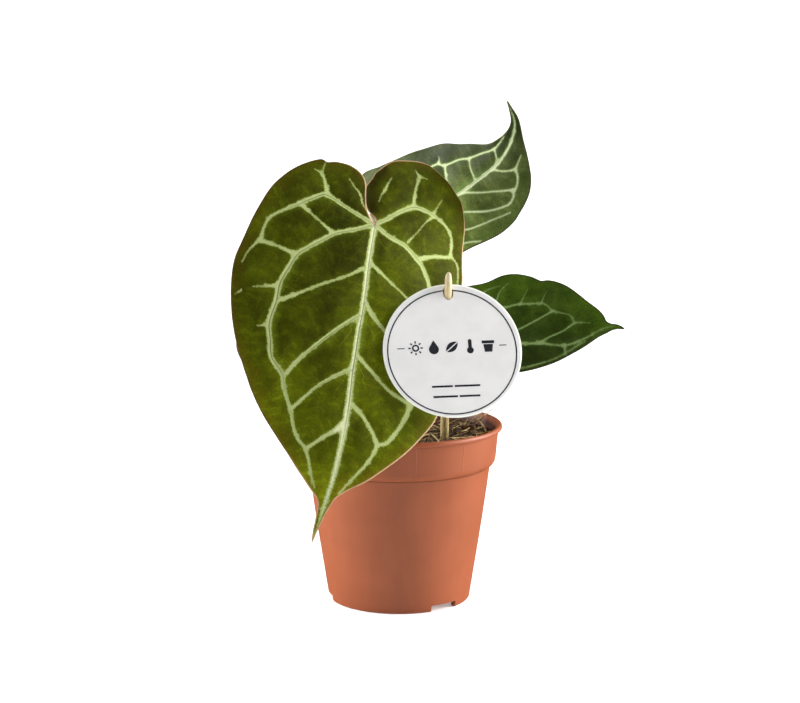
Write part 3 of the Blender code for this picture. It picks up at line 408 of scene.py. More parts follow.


# Skin of each blade: its greens, with a lighter green for the painted highlight beside its grooved
# veins and the pale zone along them, its veins, its margins, and how much it shines and browns
SKINS = {
    "front": dict(deep=rgb(56, 60, 3), fresh=rgb(80, 88, 6), warm=rgb(86, 77, 9),
                  vein=rgb(180, 191, 130), heart=rgb(224, 229, 182), lace=rgb(174, 190, 108),
                  lit_flank_and_halo=rgb(106, 120, 28), edge=rgb(186, 150, 112), far_edge=rgb(84, 62, 34),
                  gloss=0.04, roughness=0.6, brown=0.65),
    "upper_right": dict(deep=rgb(50, 60, 22), fresh=rgb(74, 84, 40), warm=rgb(60, 78, 30),
                        vein=rgb(203, 214, 166), heart=rgb(220, 228, 190),
                        lace=rgb(134, 154, 92), lit_flank_and_halo=rgb(92, 116, 60), edge=rgb(74, 82, 44),
                        far_edge=rgb(60, 60, 36), gloss=0.14, roughness=0.5, brown=0.3,
                        fringe=0.5),
    "lower_right": dict(deep=rgb(36, 50, 3), fresh=rgb(58, 78, 14), warm=rgb(56, 78, 20),
                        vein=rgb(136, 158, 102), heart=rgb(150, 172, 116),
                        lace=rgb(92, 118, 56), lit_flank_and_halo=rgb(70, 94, 34), edge=rgb(46, 54, 20),
                        far_edge=rgb(40, 50, 18), gloss=0.08, roughness=0.5, brown=0.3,
                        fringe=0.6),
    "back_left": dict(deep=rgb(44, 56, 10), fresh=rgb(72, 90, 26), warm=rgb(78, 72, 24),
                      vein=rgb(178, 198, 140), heart=rgb(200, 214, 160), lace=rgb(118, 140, 66),
                      lit_flank_and_halo=rgb(90, 108, 40), edge=rgb(110, 92, 62), far_edge=rgb(90, 70, 44),
                      gloss=0.10, roughness=0.55),
}

# Hairline edge of each blade: its colour, the colour on its far side, and the colour once dry
RIMS = {
    "front": (rgb(198, 164, 126), rgb(90, 66, 40), rgb(150, 106, 72)),
    "upper_right": (rgb(84, 84, 50), rgb(64, 58, 36), rgb(96, 84, 56)),
    "lower_right": (rgb(60, 70, 34), rgb(50, 60, 28), rgb(84, 88, 50)),
    "back_left": (rgb(110, 92, 66), rgb(84, 66, 42), rgb(90, 72, 50)),
}


class Value:
    """A shader socket that takes part in plain arithmetic."""

    def __init__(self, look, socket):
        self.look = look
        self.socket = socket

    def __add__(self, other):
        return self.look.math("ADD", self, other)

    def __radd__(self, other):
        return self.look.math("ADD", other, self)

    def __sub__(self, other):
        return self.look.math("SUBTRACT", self, other)

    def __rsub__(self, other):
        return self.look.math("SUBTRACT", other, self)

    def __mul__(self, other):
        return self.look.math("MULTIPLY", self, other)

    def __rmul__(self, other):
        return self.look.math("MULTIPLY", other, self)


class Look:
    """A procedural finish built around one Principled shader."""

    def __init__(self, name, **constants):
        self.material = bpy.data.materials.new(name)
        self.material.use_nodes = True
        self.tree = self.material.node_tree
        self.shader = self.tree.nodes["Principled BSDF"]
        for name, value in constants.items():
            self.shader.inputs[name.replace("_", " ")].default_value = value
        self.place = self.node("TexCoord", output="Object")

    def node(self, kind, inputs=None, output=0, stops=None, **settings):
        """A node with its settings made first, then its sockets filled by values or links."""
        made = self.tree.nodes.new("ShaderNode" + kind)
        for setting, value in settings.items():
            setattr(made, setting, value)
        if stops:
            elements = made.color_ramp.elements
            while len(elements) < len(stops):
                elements.new(0.5)
            for element, (position, color) in zip(elements, stops):
                element.position = position
                element.color = color
        for key, value in (inputs or {}).items():
            self.fill(made.inputs[key], value)
        return Value(self, made.outputs[output])

    def fill(self, socket, value):
        if isinstance(value, Value):
            self.tree.links.new(value.socket, socket)
        else:
            socket.default_value = value

    def set(self, **sockets):
        for name, value in sockets.items():
            self.fill(self.shader.inputs[name.replace("_", " ")], value)

    def math(self, operation, *values):
        return self.node("Math", dict(enumerate(values)), operation=operation)

    def mix(self, first, second, share):
        return self.node("Mix", {0: share, 6: first, 7: second}, output=2, data_type="RGBA")

    def shade(self, color, factor):
        """The colour made lighter or darker by a factor."""
        color = color if isinstance(color, Value) else color[:3]
        return self.node("VectorMath", {0: color, "Scale": factor}, operation="SCALE")

    def between(self, value, low, high):
        """0 at low, 1 at high, easing in and out; low may be above high."""
        return self.node("MapRange", {0: value, 1: low, 2: high},
                         interpolation_type="SMOOTHSTEP")

    def attribute(self, name):
        return self.node("Attribute", output="Fac", attribute_name=name)

    def mapped(self, move=(0, 0, 0), turn=(0, 0, 0), stretch=(1, 1, 1)):
        """Object coordinates moved, turned and stretched."""
        return self.node("Mapping", {"Vector": self.place, "Location": move, "Rotation": turn,
                                     "Scale": stretch})

    def ramp(self, value, *stops):
        """The colour at a value, blended between stops of (value, red, green, blue)."""
        return self.node("ValToRGB", {0: value},
                         stops=[(position, rgb(*color)) for position, *color in stops])

    def stripe(self, distance, outer, inner):
        """A stripe along distance 0: whole within inner of it on both sides, gone past outer."""
        return self.between(self.math("ABSOLUTE", distance), outer, inner)

    def axis(self, vector, number):
        """One of a vector's three values."""
        return self.node("SeparateXYZ", {0: vector}, output=number)

    def noise(self, size, detail=3.0, rough=0.55, place=None):
        """Cloudy noise from 0 to 1 whose lumps are about size millimetres across."""
        return self.node("TexNoise", {"Vector": place or self.place, "Scale": 1 / (size * MM),
                                      "Detail": detail, "Roughness": rough})

    def cells(self, size):
        """A number from 0 to 1 for each of the cells, about size millimetres across."""
        cell = self.node("TexVoronoi", {"Vector": self.place, "Scale": 1 / (size * MM)},
                         output="Color")
        return self.axis(cell, 0)

    def bump(self, height, distance, strength=1.0, normal=None):
        """Relief: height of 1 stands distance millimetres proud."""
        inputs = {"Height": height, "Distance": distance * MM, "Strength": strength}
        if normal:
            inputs["Normal"] = normal
        return self.node("Bump", inputs)


# ---------------------------------------------------------------- finishes

def blade_top(name, deep, fresh, warm, vein, heart, lace, lit_flank_and_halo, edge, far_edge, gloss,
              roughness, brown=0.6, fringe=1.0):
    """Velvety upper side of a blade, with feathered pale veins read from the blade's attributes, and
    painted light and shade: the blade lighter and darker from place to place, a lit flank beside the
    grooved veins, dark lines in the grooves and a dark tucked-back lobe.
    """
    look = Look(name, Specular_IOR_Level=gloss)
    gap = look.attribute("vein_gap")
    side = look.attribute("vein_side")
    groove = look.attribute("groove")
    pale = look.attribute("pale")
    rim = look.attribute("rim_gap")
    tuck = look.attribute("tuck")
    cloud = look.noise(24, 2)
    patch = look.noise(6, 4, 0.6)
    speck = look.noise(1.0, 4, 0.75)
    feather = look.noise(1.5, 4, 0.65)
    thread = look.noise(0.7, 3, 0.6)

    green = look.mix(deep, fresh, look.between(cloud * 0.65 + patch * 0.35, 0.32, 0.68))
    browned = look.between(rim + (patch - 0.5) * 26, 9.0, -3.0)
    green = look.mix(green, warm, browned * brown)
    row = look.math("FRACT", (look.attribute("reach") + (cloud - 0.5) * 14) * (1 / 5.2))
    ribs = look.stripe(row - 0.5, 0.30, 0.0) * look.between(patch, 0.40, 0.62)
    velvet = look.between(speck, 0.28, 0.72)
    # Painted highlight: the flank beside each grooved vein is painted lighter, where the blade rises
    # out of the vein's valley towards the light
    painted_flank_light = look.between(side, 6.0, 1.2) * look.between(side, 0.0, 0.8) * groove
    green = look.mix(green, lit_flank_and_halo, painted_flank_light * (0.25 + patch * 0.7))
    # The shade attribute is painted light and shade across the blade, with some of its own tone
    green = look.shade(green, look.attribute("shade") * (0.66 + velvet * 0.56 + ribs * 0.30))
    halo = look.between(gap, 2.0, 0.0) * look.between(pale, 0.3, 1.0)
    green = look.mix(green, lit_flank_and_halo, halo * look.between(feather, 0.3, 0.7) * 0.40)

    ragged = gap + ((feather - 0.5) * 1.5 + (thread - 0.5) * 2.0) * fringe
    skirt = look.between(ragged, 0.62, -0.02)
    core = look.between(ragged, 0.10, -0.35)
    middle = look.between(ragged, -0.35, -0.95) * look.attribute("stout")
    veined = look.shade(look.mix(vein, heart, middle),
                        0.74 + speck * 0.32 + look.noise(5, 2) * 0.20)
    color = look.mix(green, lace, skirt * (0.42 + pale * 0.42))
    color = look.mix(color, veined, core * (0.30 + pale * 0.65))
    # Painted shade: a dark line down the middle of the grooved veins, where the furrow lies in shade
    line = look.stripe(side + (feather - 0.5) * 0.3, 0.46, 0.16)
    color = look.mix(color, deep, line * groove * 0.65)
    # Painted shade: the lobe tucked back behind the other is painted dark brown
    color = look.mix(color, rgb(36, 32, 5), look.between(tuck, 0.45, 0.82) * 0.72)
    margin = look.mix(edge, far_edge, look.between(look.attribute("across"), -12, -38))
    # The margin line is painted fainter where the tucked lobe lies in painted shade
    color = look.mix(color, margin, look.between(rim + (thread - 0.5) * 0.2, 0.50, 0.28)
                     * (0.85 - tuck * 0.45))
    fine = look.bump(speck, 0.08, 0.4)
    ribbed = look.bump(ribs, 0.12, 0.5, fine)
    look.set(Base_Color=color, Normal=ribbed,
             Roughness=roughness - core * 0.05 + (speck - 0.5) * 0.15)
    return look.material


def blade_under():
    """Paler, duller underside with raised veins."""
    look = Look("blade_underside", Specular_IOR_Level=0.35)
    gap = look.attribute("vein_gap")
    patch = look.noise(5, 4)
    grain = look.noise(0.8, 3)
    color = look.mix(rgb(88, 112, 54), rgb(112, 132, 72), look.between(patch, 0.35, 0.65))
    color = look.mix(color, rgb(150, 162, 104), look.between(gap + (grain - 0.5) * 0.6, 0.5, -0.3))
    color = look.mix(color, rgb(120, 92, 62), look.between(look.attribute("rim_gap"), 1.6, 0.2)
                     * 0.6)
    look.set(Base_Color=look.shade(color, 0.85 + grain * 0.3), Roughness=0.5 + grain * 0.15,
             Normal=look.bump(grain, 0.12, 0.5))
    return look.material


def blade_rim(name, color, far_color, dry):
    """The hairline edge all round a blade; it changes towards the blade's far side."""
    look = Look(name, Specular_IOR_Level=0.3)
    grain = look.noise(2.4, 4)
    own = look.mix(color, far_color, look.between(look.attribute("across"), -12, -38))
    look.set(Base_Color=look.mix(own, dry, look.between(grain, 0.46, 0.70) * 0.7),
             Roughness=0.45 + grain * 0.15)
    return look.material


def terracotta_plastic():
    """Moulded plastic, satin, with faint mould lines on the band, a little dirt inside, painted shade
    in thin dark lines under the band's step and under the lip, and painted shade darkening the inside
    of the mouth deeper down.
    """
    look = Look("terracotta_plastic", Specular_IOR_Level=0.42)
    centred = look.mapped(move=(-POT_AXIS.x, -POT_AXIS.y, 0))
    x, y, z = (look.axis(centred, k) for k in range(3))
    radius = look.math("SQRT", x * x + y * y)
    height = z * (1 / MM)
    around = look.node("TexGradient", {0: centred}, output=1, gradient_type="RADIAL")
    turn = look.math("FRACT", around * MOULD_LINES + MOULD_LINE_START)
    line = look.stripe(turn - 0.5, 0.012, 0.003)
    low, high = BAND_HEIGHTS
    on_band = look.between(height, low - 1, low + 1) * look.between(height, high + 1, high - 1)
    cloud = look.noise(30, 2)
    drawn = look.noise(6, 3, place=look.mapped(stretch=(1, 1, 0.08)))
    grain = look.noise(0.5, 3)
    color = look.mix(rgb(149, 77, 42), rgb(155, 81, 46), look.between(cloud, 0.35, 0.65))
    # Painted shade: dark lines under the band's step and under the lip, where the undercuts lie in
    # shade
    undercut_shade = (look.stripe(height - STEP_SHADE_HEIGHT, 0.8, 0.2)
            + look.stripe(height - LIP_SHADE_HEIGHT, 0.7, 0.2) * 0.4)
    color = look.shade(color, (0.97 + drawn * 0.06) * (1 - undercut_shade * 0.34))
    wall = radius * (1 / MM) - (height - BAND_FOOT) * BAND_FLARE
    inside = look.between(wall, 55.7, 55.3) * look.between(height, 91, 92)
    # Painted shade: the inner wall of the mouth is painted darker deeper down; the speckled dirt
    # after it is dirt on the wall
    color = look.mix(color, rgb(60, 25, 13), inside * look.between(height, 103, 98) * 0.8)
    dirt = look.between(look.noise(5, 6, 0.7), 0.46, 0.60) * inside * look.between(height, 102, 97)
    color = look.mix(color, rgb(52, 34, 22), dirt * 0.85)
    fine = look.bump(grain, 0.05, 0.35)
    look.set(Base_Color=color, Roughness=0.43 + drawn * 0.08 + dirt * 0.3,
             Normal=look.bump(line * on_band, 0.20, 0.7, fine))
    return look.material


def peat():
    """Damp peat in brown and rusty crumbs, painted darkest where its bump is lowest, which is painted
    shade in its hollows, with a few pale flecks and nearly black specks.
    """
    look = Look("peat", Specular_IOR_Level=0.3)
    lump = look.noise(3.2, 6, 0.7)
    grain = look.noise(0.9, 5, 0.75)
    fleck = look.cells(1.3)
    # Painted shade: the colour follows the same lumps as the bump and is darkest in the low places,
    # over the peat's own browns
    color = look.ramp(lump * 0.6 + grain * 0.4, (0.34, 28, 20, 14), (0.50, 68, 50, 35),
                      (0.62, 104, 78, 54), (0.74, 140, 112, 78))
    color = look.mix(color, rgb(150, 126, 92), look.between(fleck, 0.955, 0.985) * 0.8)
    color = look.mix(color, rgb(14, 9, 7), look.between(fleck, 0.16, 0.04) * 0.7)
    look.set(Base_Color=color, Roughness=0.75 + grain * 0.2,
             Normal=look.bump(grain + lump, 0.7, 0.8))
    return look.material


def crumb():
    """Loose crumbs, each its own brown by the cell it lies in."""
    look = Look("soil_crumbs", Specular_IOR_Level=0.3)
    grain = look.noise(0.5, 5, 0.7)
    color = look.ramp(look.cells(3.1), (0.0, 32, 22, 16), (0.30, 62, 45, 32), (0.55, 94, 70, 50),
                      (0.75, 126, 100, 72), (0.88, 158, 134, 100), (0.96, 104, 90, 56))
    look.set(Base_Color=look.shade(color, 0.65 + grain * 0.7), Roughness=0.8,
             Normal=look.bump(grain, 0.3, 0.8))
    return look.material


def straw():
    """Dry straw, some of it pale and some of it brown."""
    look = Look("straw", Specular_IOR_Level=0.4)
    patch = look.noise(7, 2)
    grain = look.noise(0.6, 3)
    color = look.ramp(patch, (0.30, 78, 56, 32), (0.42, 128, 100, 58), (0.52, 178, 148, 92),
                      (0.62, 218, 194, 138), (0.74, 140, 112, 66))
    look.set(Base_Color=look.shade(color, 0.8 + grain * 0.4), Roughness=0.55)
    return look.material


def bark():
    """Bark in brown layers."""
    look = Look("bark", Specular_IOR_Level=0.3)
    layers = look.noise(2.0, 5, 0.65, place=look.mapped(turn=(0.4, 0.3, 0.6), stretch=(1, 1, 3)))
    grain = look.noise(0.5, 4)
    color = look.ramp(layers, (0.36, 44, 28, 19), (0.52, 94, 62, 42), (0.68, 146, 112, 82))
    look.set(Base_Color=look.shade(color, 0.7 + grain * 0.6), Roughness=0.85,
             Normal=look.bump(layers + grain * 0.4, 0.5, 0.8))
    return look.material


def wood():
    """Birch stake: long grain, fresh at the tip, greyer and stained towards the soil."""
    look = Look("stake_wood", Specular_IOR_Level=0.35)
    lean = STAKE_AT_LABEL - STAKE_IN_SOIL
    upright = look.mapped(turn=(math.atan2(lean.y, lean.z), 0, 0), stretch=(1, 1, 0.05))
    grain = look.noise(0.8, 5, 0.6, place=upright)
    fibre = look.noise(0.25, 3, 0.6, place=upright)
    height = look.axis(look.place, 2) * (1 / MM)
    fresh = look.ramp(grain, (0.32, 188, 164, 120), (0.50, 212, 192, 150), (0.68, 228, 212, 174))
    weathered = look.ramp(grain, (0.32, 128, 104, 62), (0.50, 170, 148, 98),
                          (0.68, 202, 184, 134))
    color = look.mix(weathered, fresh, look.between(height, 120, 176))
    damp = look.between(height + grain * 6, 106, 98)
    color = look.mix(color, rgb(84, 66, 40), damp * 0.55)
    look.set(Base_Color=look.shade(color, 0.86 + fibre * 0.28), Roughness=0.5 + grain * 0.15,
             Normal=look.bump(fibre + grain, 0.12, 0.6))
    return look.material


def card():
    """Matt laminated card, very slightly mottled."""
    look = Look("label_card", Specular_IOR_Level=0.4)
    cloud = look.noise(14, 3)
    pulp = look.noise(0.4, 3)
    color = look.mix(rgb(235, 234, 233), rgb(240, 239, 238), look.between(cloud, 0.35, 0.65))
    look.set(Base_Color=color, Roughness=0.5 + pulp * 0.08, Normal=look.bump(pulp, 0.02, 0.4))
    return look.material


def cut_card():
    """The card's bevelled edge, where its bare core shows."""
    look = Look("label_cut_edge", Specular_IOR_Level=0.3)
    pulp = look.noise(0.6, 3)
    look.set(Base_Color=look.mix(rgb(246, 248, 236), rgb(252, 253, 246), pulp),
             Roughness=0.6 + pulp * 0.1)
    return look.material


def ink():
    """Matt dark printing ink."""
    look = Look("label_ink", Specular_IOR_Level=0.4)
    pulp = look.noise(0.5, 3)
    look.set(Base_Color=look.mix(rgb(28, 29, 36), rgb(38, 40, 48), pulp),
             Roughness=0.45 + pulp * 0.1)
    return look.material


def petiole(name, neck, knee):
    """Smooth stalk, green low down and paler towards the knee under the blade."""
    look = Look(name, Specular_IOR_Level=0.45, Subsurface_Weight=0.05)
    along = look.attribute("along")
    streak = look.noise(1.0, 4, place=look.mapped(stretch=(1, 1, 0.06)))
    fleck = look.noise(1.4, 3)
    color = look.ramp(along + (fleck - 0.5) * 0.12, (0.0, 122, 98, 66), (0.12, 96, 112, 52),
                      (0.72, 132, 132, 74), (0.86, *neck), (0.97, *knee))
    color = look.shade(color, 0.88 + streak * 0.24)
    look.set(Base_Color=color, Roughness=0.38 + streak * 0.12,
             Normal=look.bump(streak, 0.10, 0.5))
    return look.material


def crown_skin():
    """Brownish green skin of the short stem, ringed."""
    look = Look("crown_skin", Specular_IOR_Level=0.35)
    rings = look.noise(2.2, 4, place=look.mapped(stretch=(0.4, 0.4, 2)))
    grain = look.noise(0.6, 4)
    color = look.ramp(rings, (0.34, 62, 48, 28), (0.52, 104, 92, 50), (0.68, 132, 118, 72))
    look.set(Base_Color=look.shade(color, 0.75 + grain * 0.5), Roughness=0.7,
             Normal=look.bump(rings + grain * 0.5, 0.5, 0.7))
    return look.material


def dry_sheath():
    """Papery brown sheath that has split into long fibres."""
    look = Look("dry_sheath", Specular_IOR_Level=0.3)
    strand = look.noise(0.6, 5, 0.65, place=look.mapped(stretch=(1, 1, 0.07)))
    patch = look.noise(5, 3)
    color = look.ramp(strand, (0.34, 74, 46, 26), (0.50, 132, 90, 54), (0.66, 186, 146, 98))
    look.set(Base_Color=look.shade(color, 0.7 + patch * 0.6), Roughness=0.75,
             Normal=look.bump(strand, 0.25, 0.8))
    return look.material


def root_skin():
    """Corky skin of the aerial roots."""
    look = Look("aerial_root_skin", Specular_IOR_Level=0.35)
    ring = look.noise(0.8, 5, 0.6)
    patch = look.noise(4, 2)
    color = look.mix(rgb(124, 96, 62), rgb(168, 146, 104), look.between(patch, 0.4, 0.6))
    look.set(Base_Color=look.shade(color, 0.75 + ring * 0.5), Roughness=0.7,
             Normal=look.bump(ring, 0.15, 0.7))
    return look.material


# ---------------------------------------------------------------- making pieces

def alone(piece):
    """Only this piece is selected, and it is the active one."""
    bpy.ops.object.select_all(action="DESELECT")
    piece.select_set(True)
    bpy.context.view_layer.objects.active = piece
    return piece


def placed(name, data):
    """A new object for a mesh, a curve, a lamp or the camera."""
    thing = bpy.data.objects.new(name, data)
    bpy.context.scene.collection.objects.link(thing)
    return thing


def added(name, primitive, **settings):
    """A primitive added with nothing else selected, named, with its place in its mesh."""
    bpy.ops.object.select_all(action="DESELECT")
    primitive(**settings)
    piece = bpy.context.object
    piece.name = name
    piece.data.name = name
    bpy.ops.object.transform_apply(location=True, rotation=True, scale=True)
    return piece


class Editing:
    """Edit mode on one piece, with all of it selected, for the length of a with block."""

    def __init__(self, piece):
        self.piece = piece

    def __enter__(self):
        alone(self.piece)
        bpy.ops.object.mode_set(mode="EDIT")
        bpy.ops.mesh.select_all(action="SELECT")

    def __exit__(self, *_):
        bpy.ops.object.mode_set(mode="OBJECT")


def welded(piece):
    """Doubles merged and faces turned outwards."""
    with Editing(piece):
        bpy.ops.mesh.remove_doubles(threshold=WELD)
        bpy.ops.mesh.normals_make_consistent(inside=False)
    return piece


def turned(name, profile, segments):
    """A ring drawn at the profile's first radius and height, and pulled out to each next one."""
    radius, height = profile[0]
    piece = added(name, bpy.ops.mesh.primitive_circle_add, vertices=segments, radius=radius,
                  location=(0, 0, height))
    with Editing(piece):
        for next_radius, next_height in profile[1:]:
            share = next_radius / radius
            bpy.ops.mesh.extrude_region_move(
                TRANSFORM_OT_translate={"value": (0, 0, next_height - height)})
            bpy.ops.transform.resize(value=(share, share, 1),
                                     center_override=(0, 0, next_height))
            radius, height = next_radius, next_height
    return welded(piece)


def finished(piece, kind, **settings):
    """A modifier added to the piece and applied at once."""
    alone(piece)
    modifier = piece.modifiers.new(kind.lower(), kind)
    for setting, value in settings.items():
        setattr(modifier, setting, value)
    bpy.ops.object.modifier_apply(modifier=modifier.name)
    return piece


def roughened(piece, size, strength, middle=0.5, **settings):
    """The surface pushed in and out by cloudy lumps about size millimetres across."""
    lumps = bpy.data.textures.new("lumps", "CLOUDS")
    lumps.noise_scale = size
    finished(piece, "DISPLACE", texture=lumps, strength=strength, mid_level=middle,
             texture_coords="LOCAL", **settings)
    bpy.data.textures.remove(lumps)


def cut_away(piece, cutter):
    """The cutter's shape taken out of the piece, and the cutter thrown away."""
    finished(piece, "BOOLEAN", operation="DIFFERENCE", solver="EXACT", object=cutter)
    bpy.data.objects.remove(cutter)


def joined(name, parts):
    """The parts as one piece."""
    bpy.ops.object.select_all(action="DESELECT")
    for part in parts:
        part.select_set(True)
    bpy.context.view_layer.objects.active = parts[0]
    bpy.ops.object.join()
    piece = bpy.context.object
    piece.name = name
    bpy.ops.object.transform_apply(location=True, rotation=True, scale=True)
    return piece


def copied(template, place):
    """A copy with its own mesh, moved by a matrix."""
    piece = template.copy()
    piece.data = template.data.copy()
    bpy.context.scene.collection.objects.link(piece)
    piece.data.transform(place)
    return piece


def settle(piece, slot, looks, *nodes, smooth=40.0):
    """The finished piece goes to its place in metres and takes its finish."""
    piece.data.transform(TO_PLACE)
    piece.data.materials.clear()
    for look in looks:
        piece.data.materials.append(look)
    alone(piece)
    bpy.ops.object.shade_smooth_by_angle(angle=math.radians(smooth))
    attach(piece, "root")
    if nodes:
        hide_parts(*nodes)


def smooth_line(points, per_span):
    """Catmull-Rom curve through the points, per_span steps between each two."""
    p = np.array(points, float)
    p = np.vstack([2 * p[0] - p[1], p, 2 * p[-1] - p[-2]])
    line = []
    for i in range(1, len(p) - 2):
        for k in range(per_span):
            x = k / per_span
            line.append(0.5 * (2 * p[i] + (p[i + 1] - p[i - 1]) * x
                               + (2 * p[i - 1] - 5 * p[i] + 4 * p[i + 1] - p[i + 2]) * x ** 2
                               + (3 * p[i] - p[i - 1] - 3 * p[i + 1] + p[i + 2]) * x ** 3))
    line.append(p[-2])
    return np.array(line)


def around(radius, turn):
    """The flat point at a radius and a turn."""
    return radius * math.cos(turn), radius * math.sin(turn)


def run_of(line):
    """Distance along a line at each of its points."""
    steps = np.linalg.norm(np.diff(line, axis=0), axis=1)
    return np.concatenate([[0], np.cumsum(steps)])


def even_line(points, step):
    """The smooth line through the points, with its own points about step apart."""
    line = smooth_line(points, 12)
    run = run_of(line)
    stops = np.linspace(0, run[-1], max(2, round(run[-1] / step)) + 1)
    return np.stack([np.interp(stops, run, line[:, k]) for k in range(line.shape[1])], axis=-1)


def round_strands(name, strands, resolution):
    """Round stems, each given as (points, radii), drawn as one curve and then made a mesh."""
    curve = bpy.data.curves.new(name, "CURVE")
    curve.dimensions = "3D"
    curve.bevel_depth = 1.0
    curve.bevel_resolution = resolution
    curve.use_fill_caps = True
    for points, radii in strands:
        spline = curve.splines.new("POLY")
        spline.points.add(len(points) - 1)
        for spot, point, radius in zip(spline.points, points, radii):
            spot.co = (*point, 1)
            spot.radius = radius
    alone(placed(name, curve))
    bpy.ops.object.convert(target="MESH")
    piece = bpy.context.object
    piece.data.name = name
    return piece


# ---------------------------------------------------------------- leaves

class Blade:
    """A leaf blade's middle surface: s runs along the midrib, t across it, both in millimetres."""

    def __init__(self, midrib, face, tip_face, arch, fold, lobe_bend, **outline):
        self.line = smooth_line(midrib, 40)
        self.run = run_of(self.line)
        self.length = self.run[-1]
        ahead = np.gradient(self.line, self.run, axis=0)
        self.ahead = ahead / np.linalg.norm(ahead, axis=1)[:, None]
        self.face = np.array(face) / np.linalg.norm(face)
        self.tip_face = np.array(tip_face) / np.linalg.norm(tip_face)
        self.arch = np.array(arch) * MM
        self.fold = fold
        self.lobe_bend = lobe_bend * MM
        self.outline = outline

    def frame(self, s):
        """Middle point, direction ahead, direction to the right and facing direction at s."""
        on_rib = np.clip(s, 0, self.length)
        middle = np.stack([np.interp(on_rib, self.run, self.line[:, k]) for k in range(3)], -1)
        ahead = np.stack([np.interp(on_rib, self.run, self.ahead[:, k]) for k in range(3)], -1)
        ahead /= np.linalg.norm(ahead, axis=-1)[..., None]
        share = (on_rib / self.length)[..., None]
        face = self.face * (1 - share) + self.tip_face * share
        face = face - (ahead * face).sum(-1)[..., None] * ahead
        face /= np.linalg.norm(face, axis=-1)[..., None]
        side = np.cross(face, ahead)
        turn = np.minimum(s, 0) * self.lobe_bend
        middle = (middle + ahead * (np.sin(turn) / self.lobe_bend)[..., None]
                  - face * ((1 - np.cos(turn)) / self.lobe_bend)[..., None]
                  + ahead * np.maximum(s - self.length, 0)[..., None])
        up = ahead * np.sin(turn)[..., None] + face * np.cos(turn)[..., None]
        return middle, ahead, side, up

    def point(self, s, t):
        """Places on the curved surface, in millimetres."""
        middle, _, side, up = self.frame(s)
        one = (t > 0).astype(int)
        lift = np.array(self.fold)[one] * np.abs(t) - self.arch[one] * t * t
        return middle + t[..., None] * side + lift[..., None] * up

    def normal(self, s, t):
        """Facing direction of the curved surface itself."""
        across = self.point(s, t + 0.3) - self.point(s, t - 0.3)
        along = self.point(s + 0.3, t) - self.point(s - 0.3, t)
        facing = np.cross(along, across)
        return facing / np.linalg.norm(facing, axis=1)[:, None]


def blade_of(shape):
    """The middle surface of a leaf's shape."""
    return Blade(**{part: value for part, value in shape.items() if part != "veins"})


class Spots:
    """Flat points that keep their distance from each other."""

    def __init__(self):
        self.cells = {}
        self.points = []

    def add(self, spot, gap):
        """Keeps the spot unless another one is nearer than the gap."""
        column, row = math.floor(spot[0]), math.floor(spot[1])
        reach = math.ceil(gap)
        for i in range(column - reach, column + reach + 1):
            for j in range(row - reach, row + reach + 1):
                for other in self.cells.get((i, j), ()):
                    if math.hypot(other[0] - spot[0], other[1] - spot[1]) < gap:
                        return
        self.cells.setdefault((column, row), []).append(spot)
        self.points.append(spot)


def inside(spots, rim):
    """Even-odd test of flat points against a closed rim."""
    ahead = np.roll(rim, -1, axis=0)
    x, y = spots[:, 0:1], spots[:, 1:2]
    crosses = (rim[:, 1] > y) != (ahead[:, 1] > y)
    rise = np.where(ahead[:, 1] == rim[:, 1], 1.0, ahead[:, 1] - rim[:, 1])
    reach = rim[:, 0] + (y - rim[:, 1]) / rise * (ahead[:, 0] - rim[:, 0])
    return np.count_nonzero(crosses & (x < reach), axis=1) % 2 == 1


def from_line(spots, line):
    """Signed distance of flat points from a line, and the share of the way along it."""
    start, step = line[:-1], np.diff(line, axis=0)
    off = spots[:, None] - start
    length = (step ** 2).sum(1)
    share = np.clip((off * step).sum(-1) / length, 0, 1)
    gap = off - share[..., None] * step
    distance = np.hypot(gap[..., 0], gap[..., 1])
    nearest = distance.argmin(axis=1)
    rows = np.arange(len(spots))
    cross = (step[nearest, 0] * off[rows, nearest, 1] - step[nearest, 1] * off[rows, nearest, 0])
    along = (nearest + share[rows, nearest]) / len(step)
    return distance[rows, nearest] * np.where(cross < 0, -1, 1), along


def width_at(share, widths):
    """A vein's half width at a share of its length, its widths being evenly spaced."""
    return np.interp(share, np.linspace(0, 1, len(widths)), widths)


def spurs(veins, rng):
    """Short side shoots that make the wide veins ragged."""
    shoots = []
    for widths, _, points in veins:
        if max(widths) < SPURRED_WIDTH:
            continue
        line = even_line(points, 1.0)
        at = rng.uniform(2, 8)
        while at < len(line) - 3:
            k = int(at)
            ahead = line[k + 1] - line[k - 1]
            turn = rng.choice((-1, 1)) * rng.uniform(0.7, 1.3)
            c, d = math.cos(turn), math.sin(turn)
            way = np.array([c * ahead[0] - d * ahead[1], d * ahead[0] + c * ahead[1]])
            way /= np.linalg.norm(way)
            half = width_at(k / len(line), widths)
            reach = half + rng.uniform(0.3, 1.0)
            end = line[k] + way * reach
            shoots.append(((half * 0.6, 0.25, 0.05), 0.0,
                           [tuple(line[k]), tuple((line[k] + end) / 2), tuple(end)]))
            at += rng.uniform(5, 16)
    return shoots


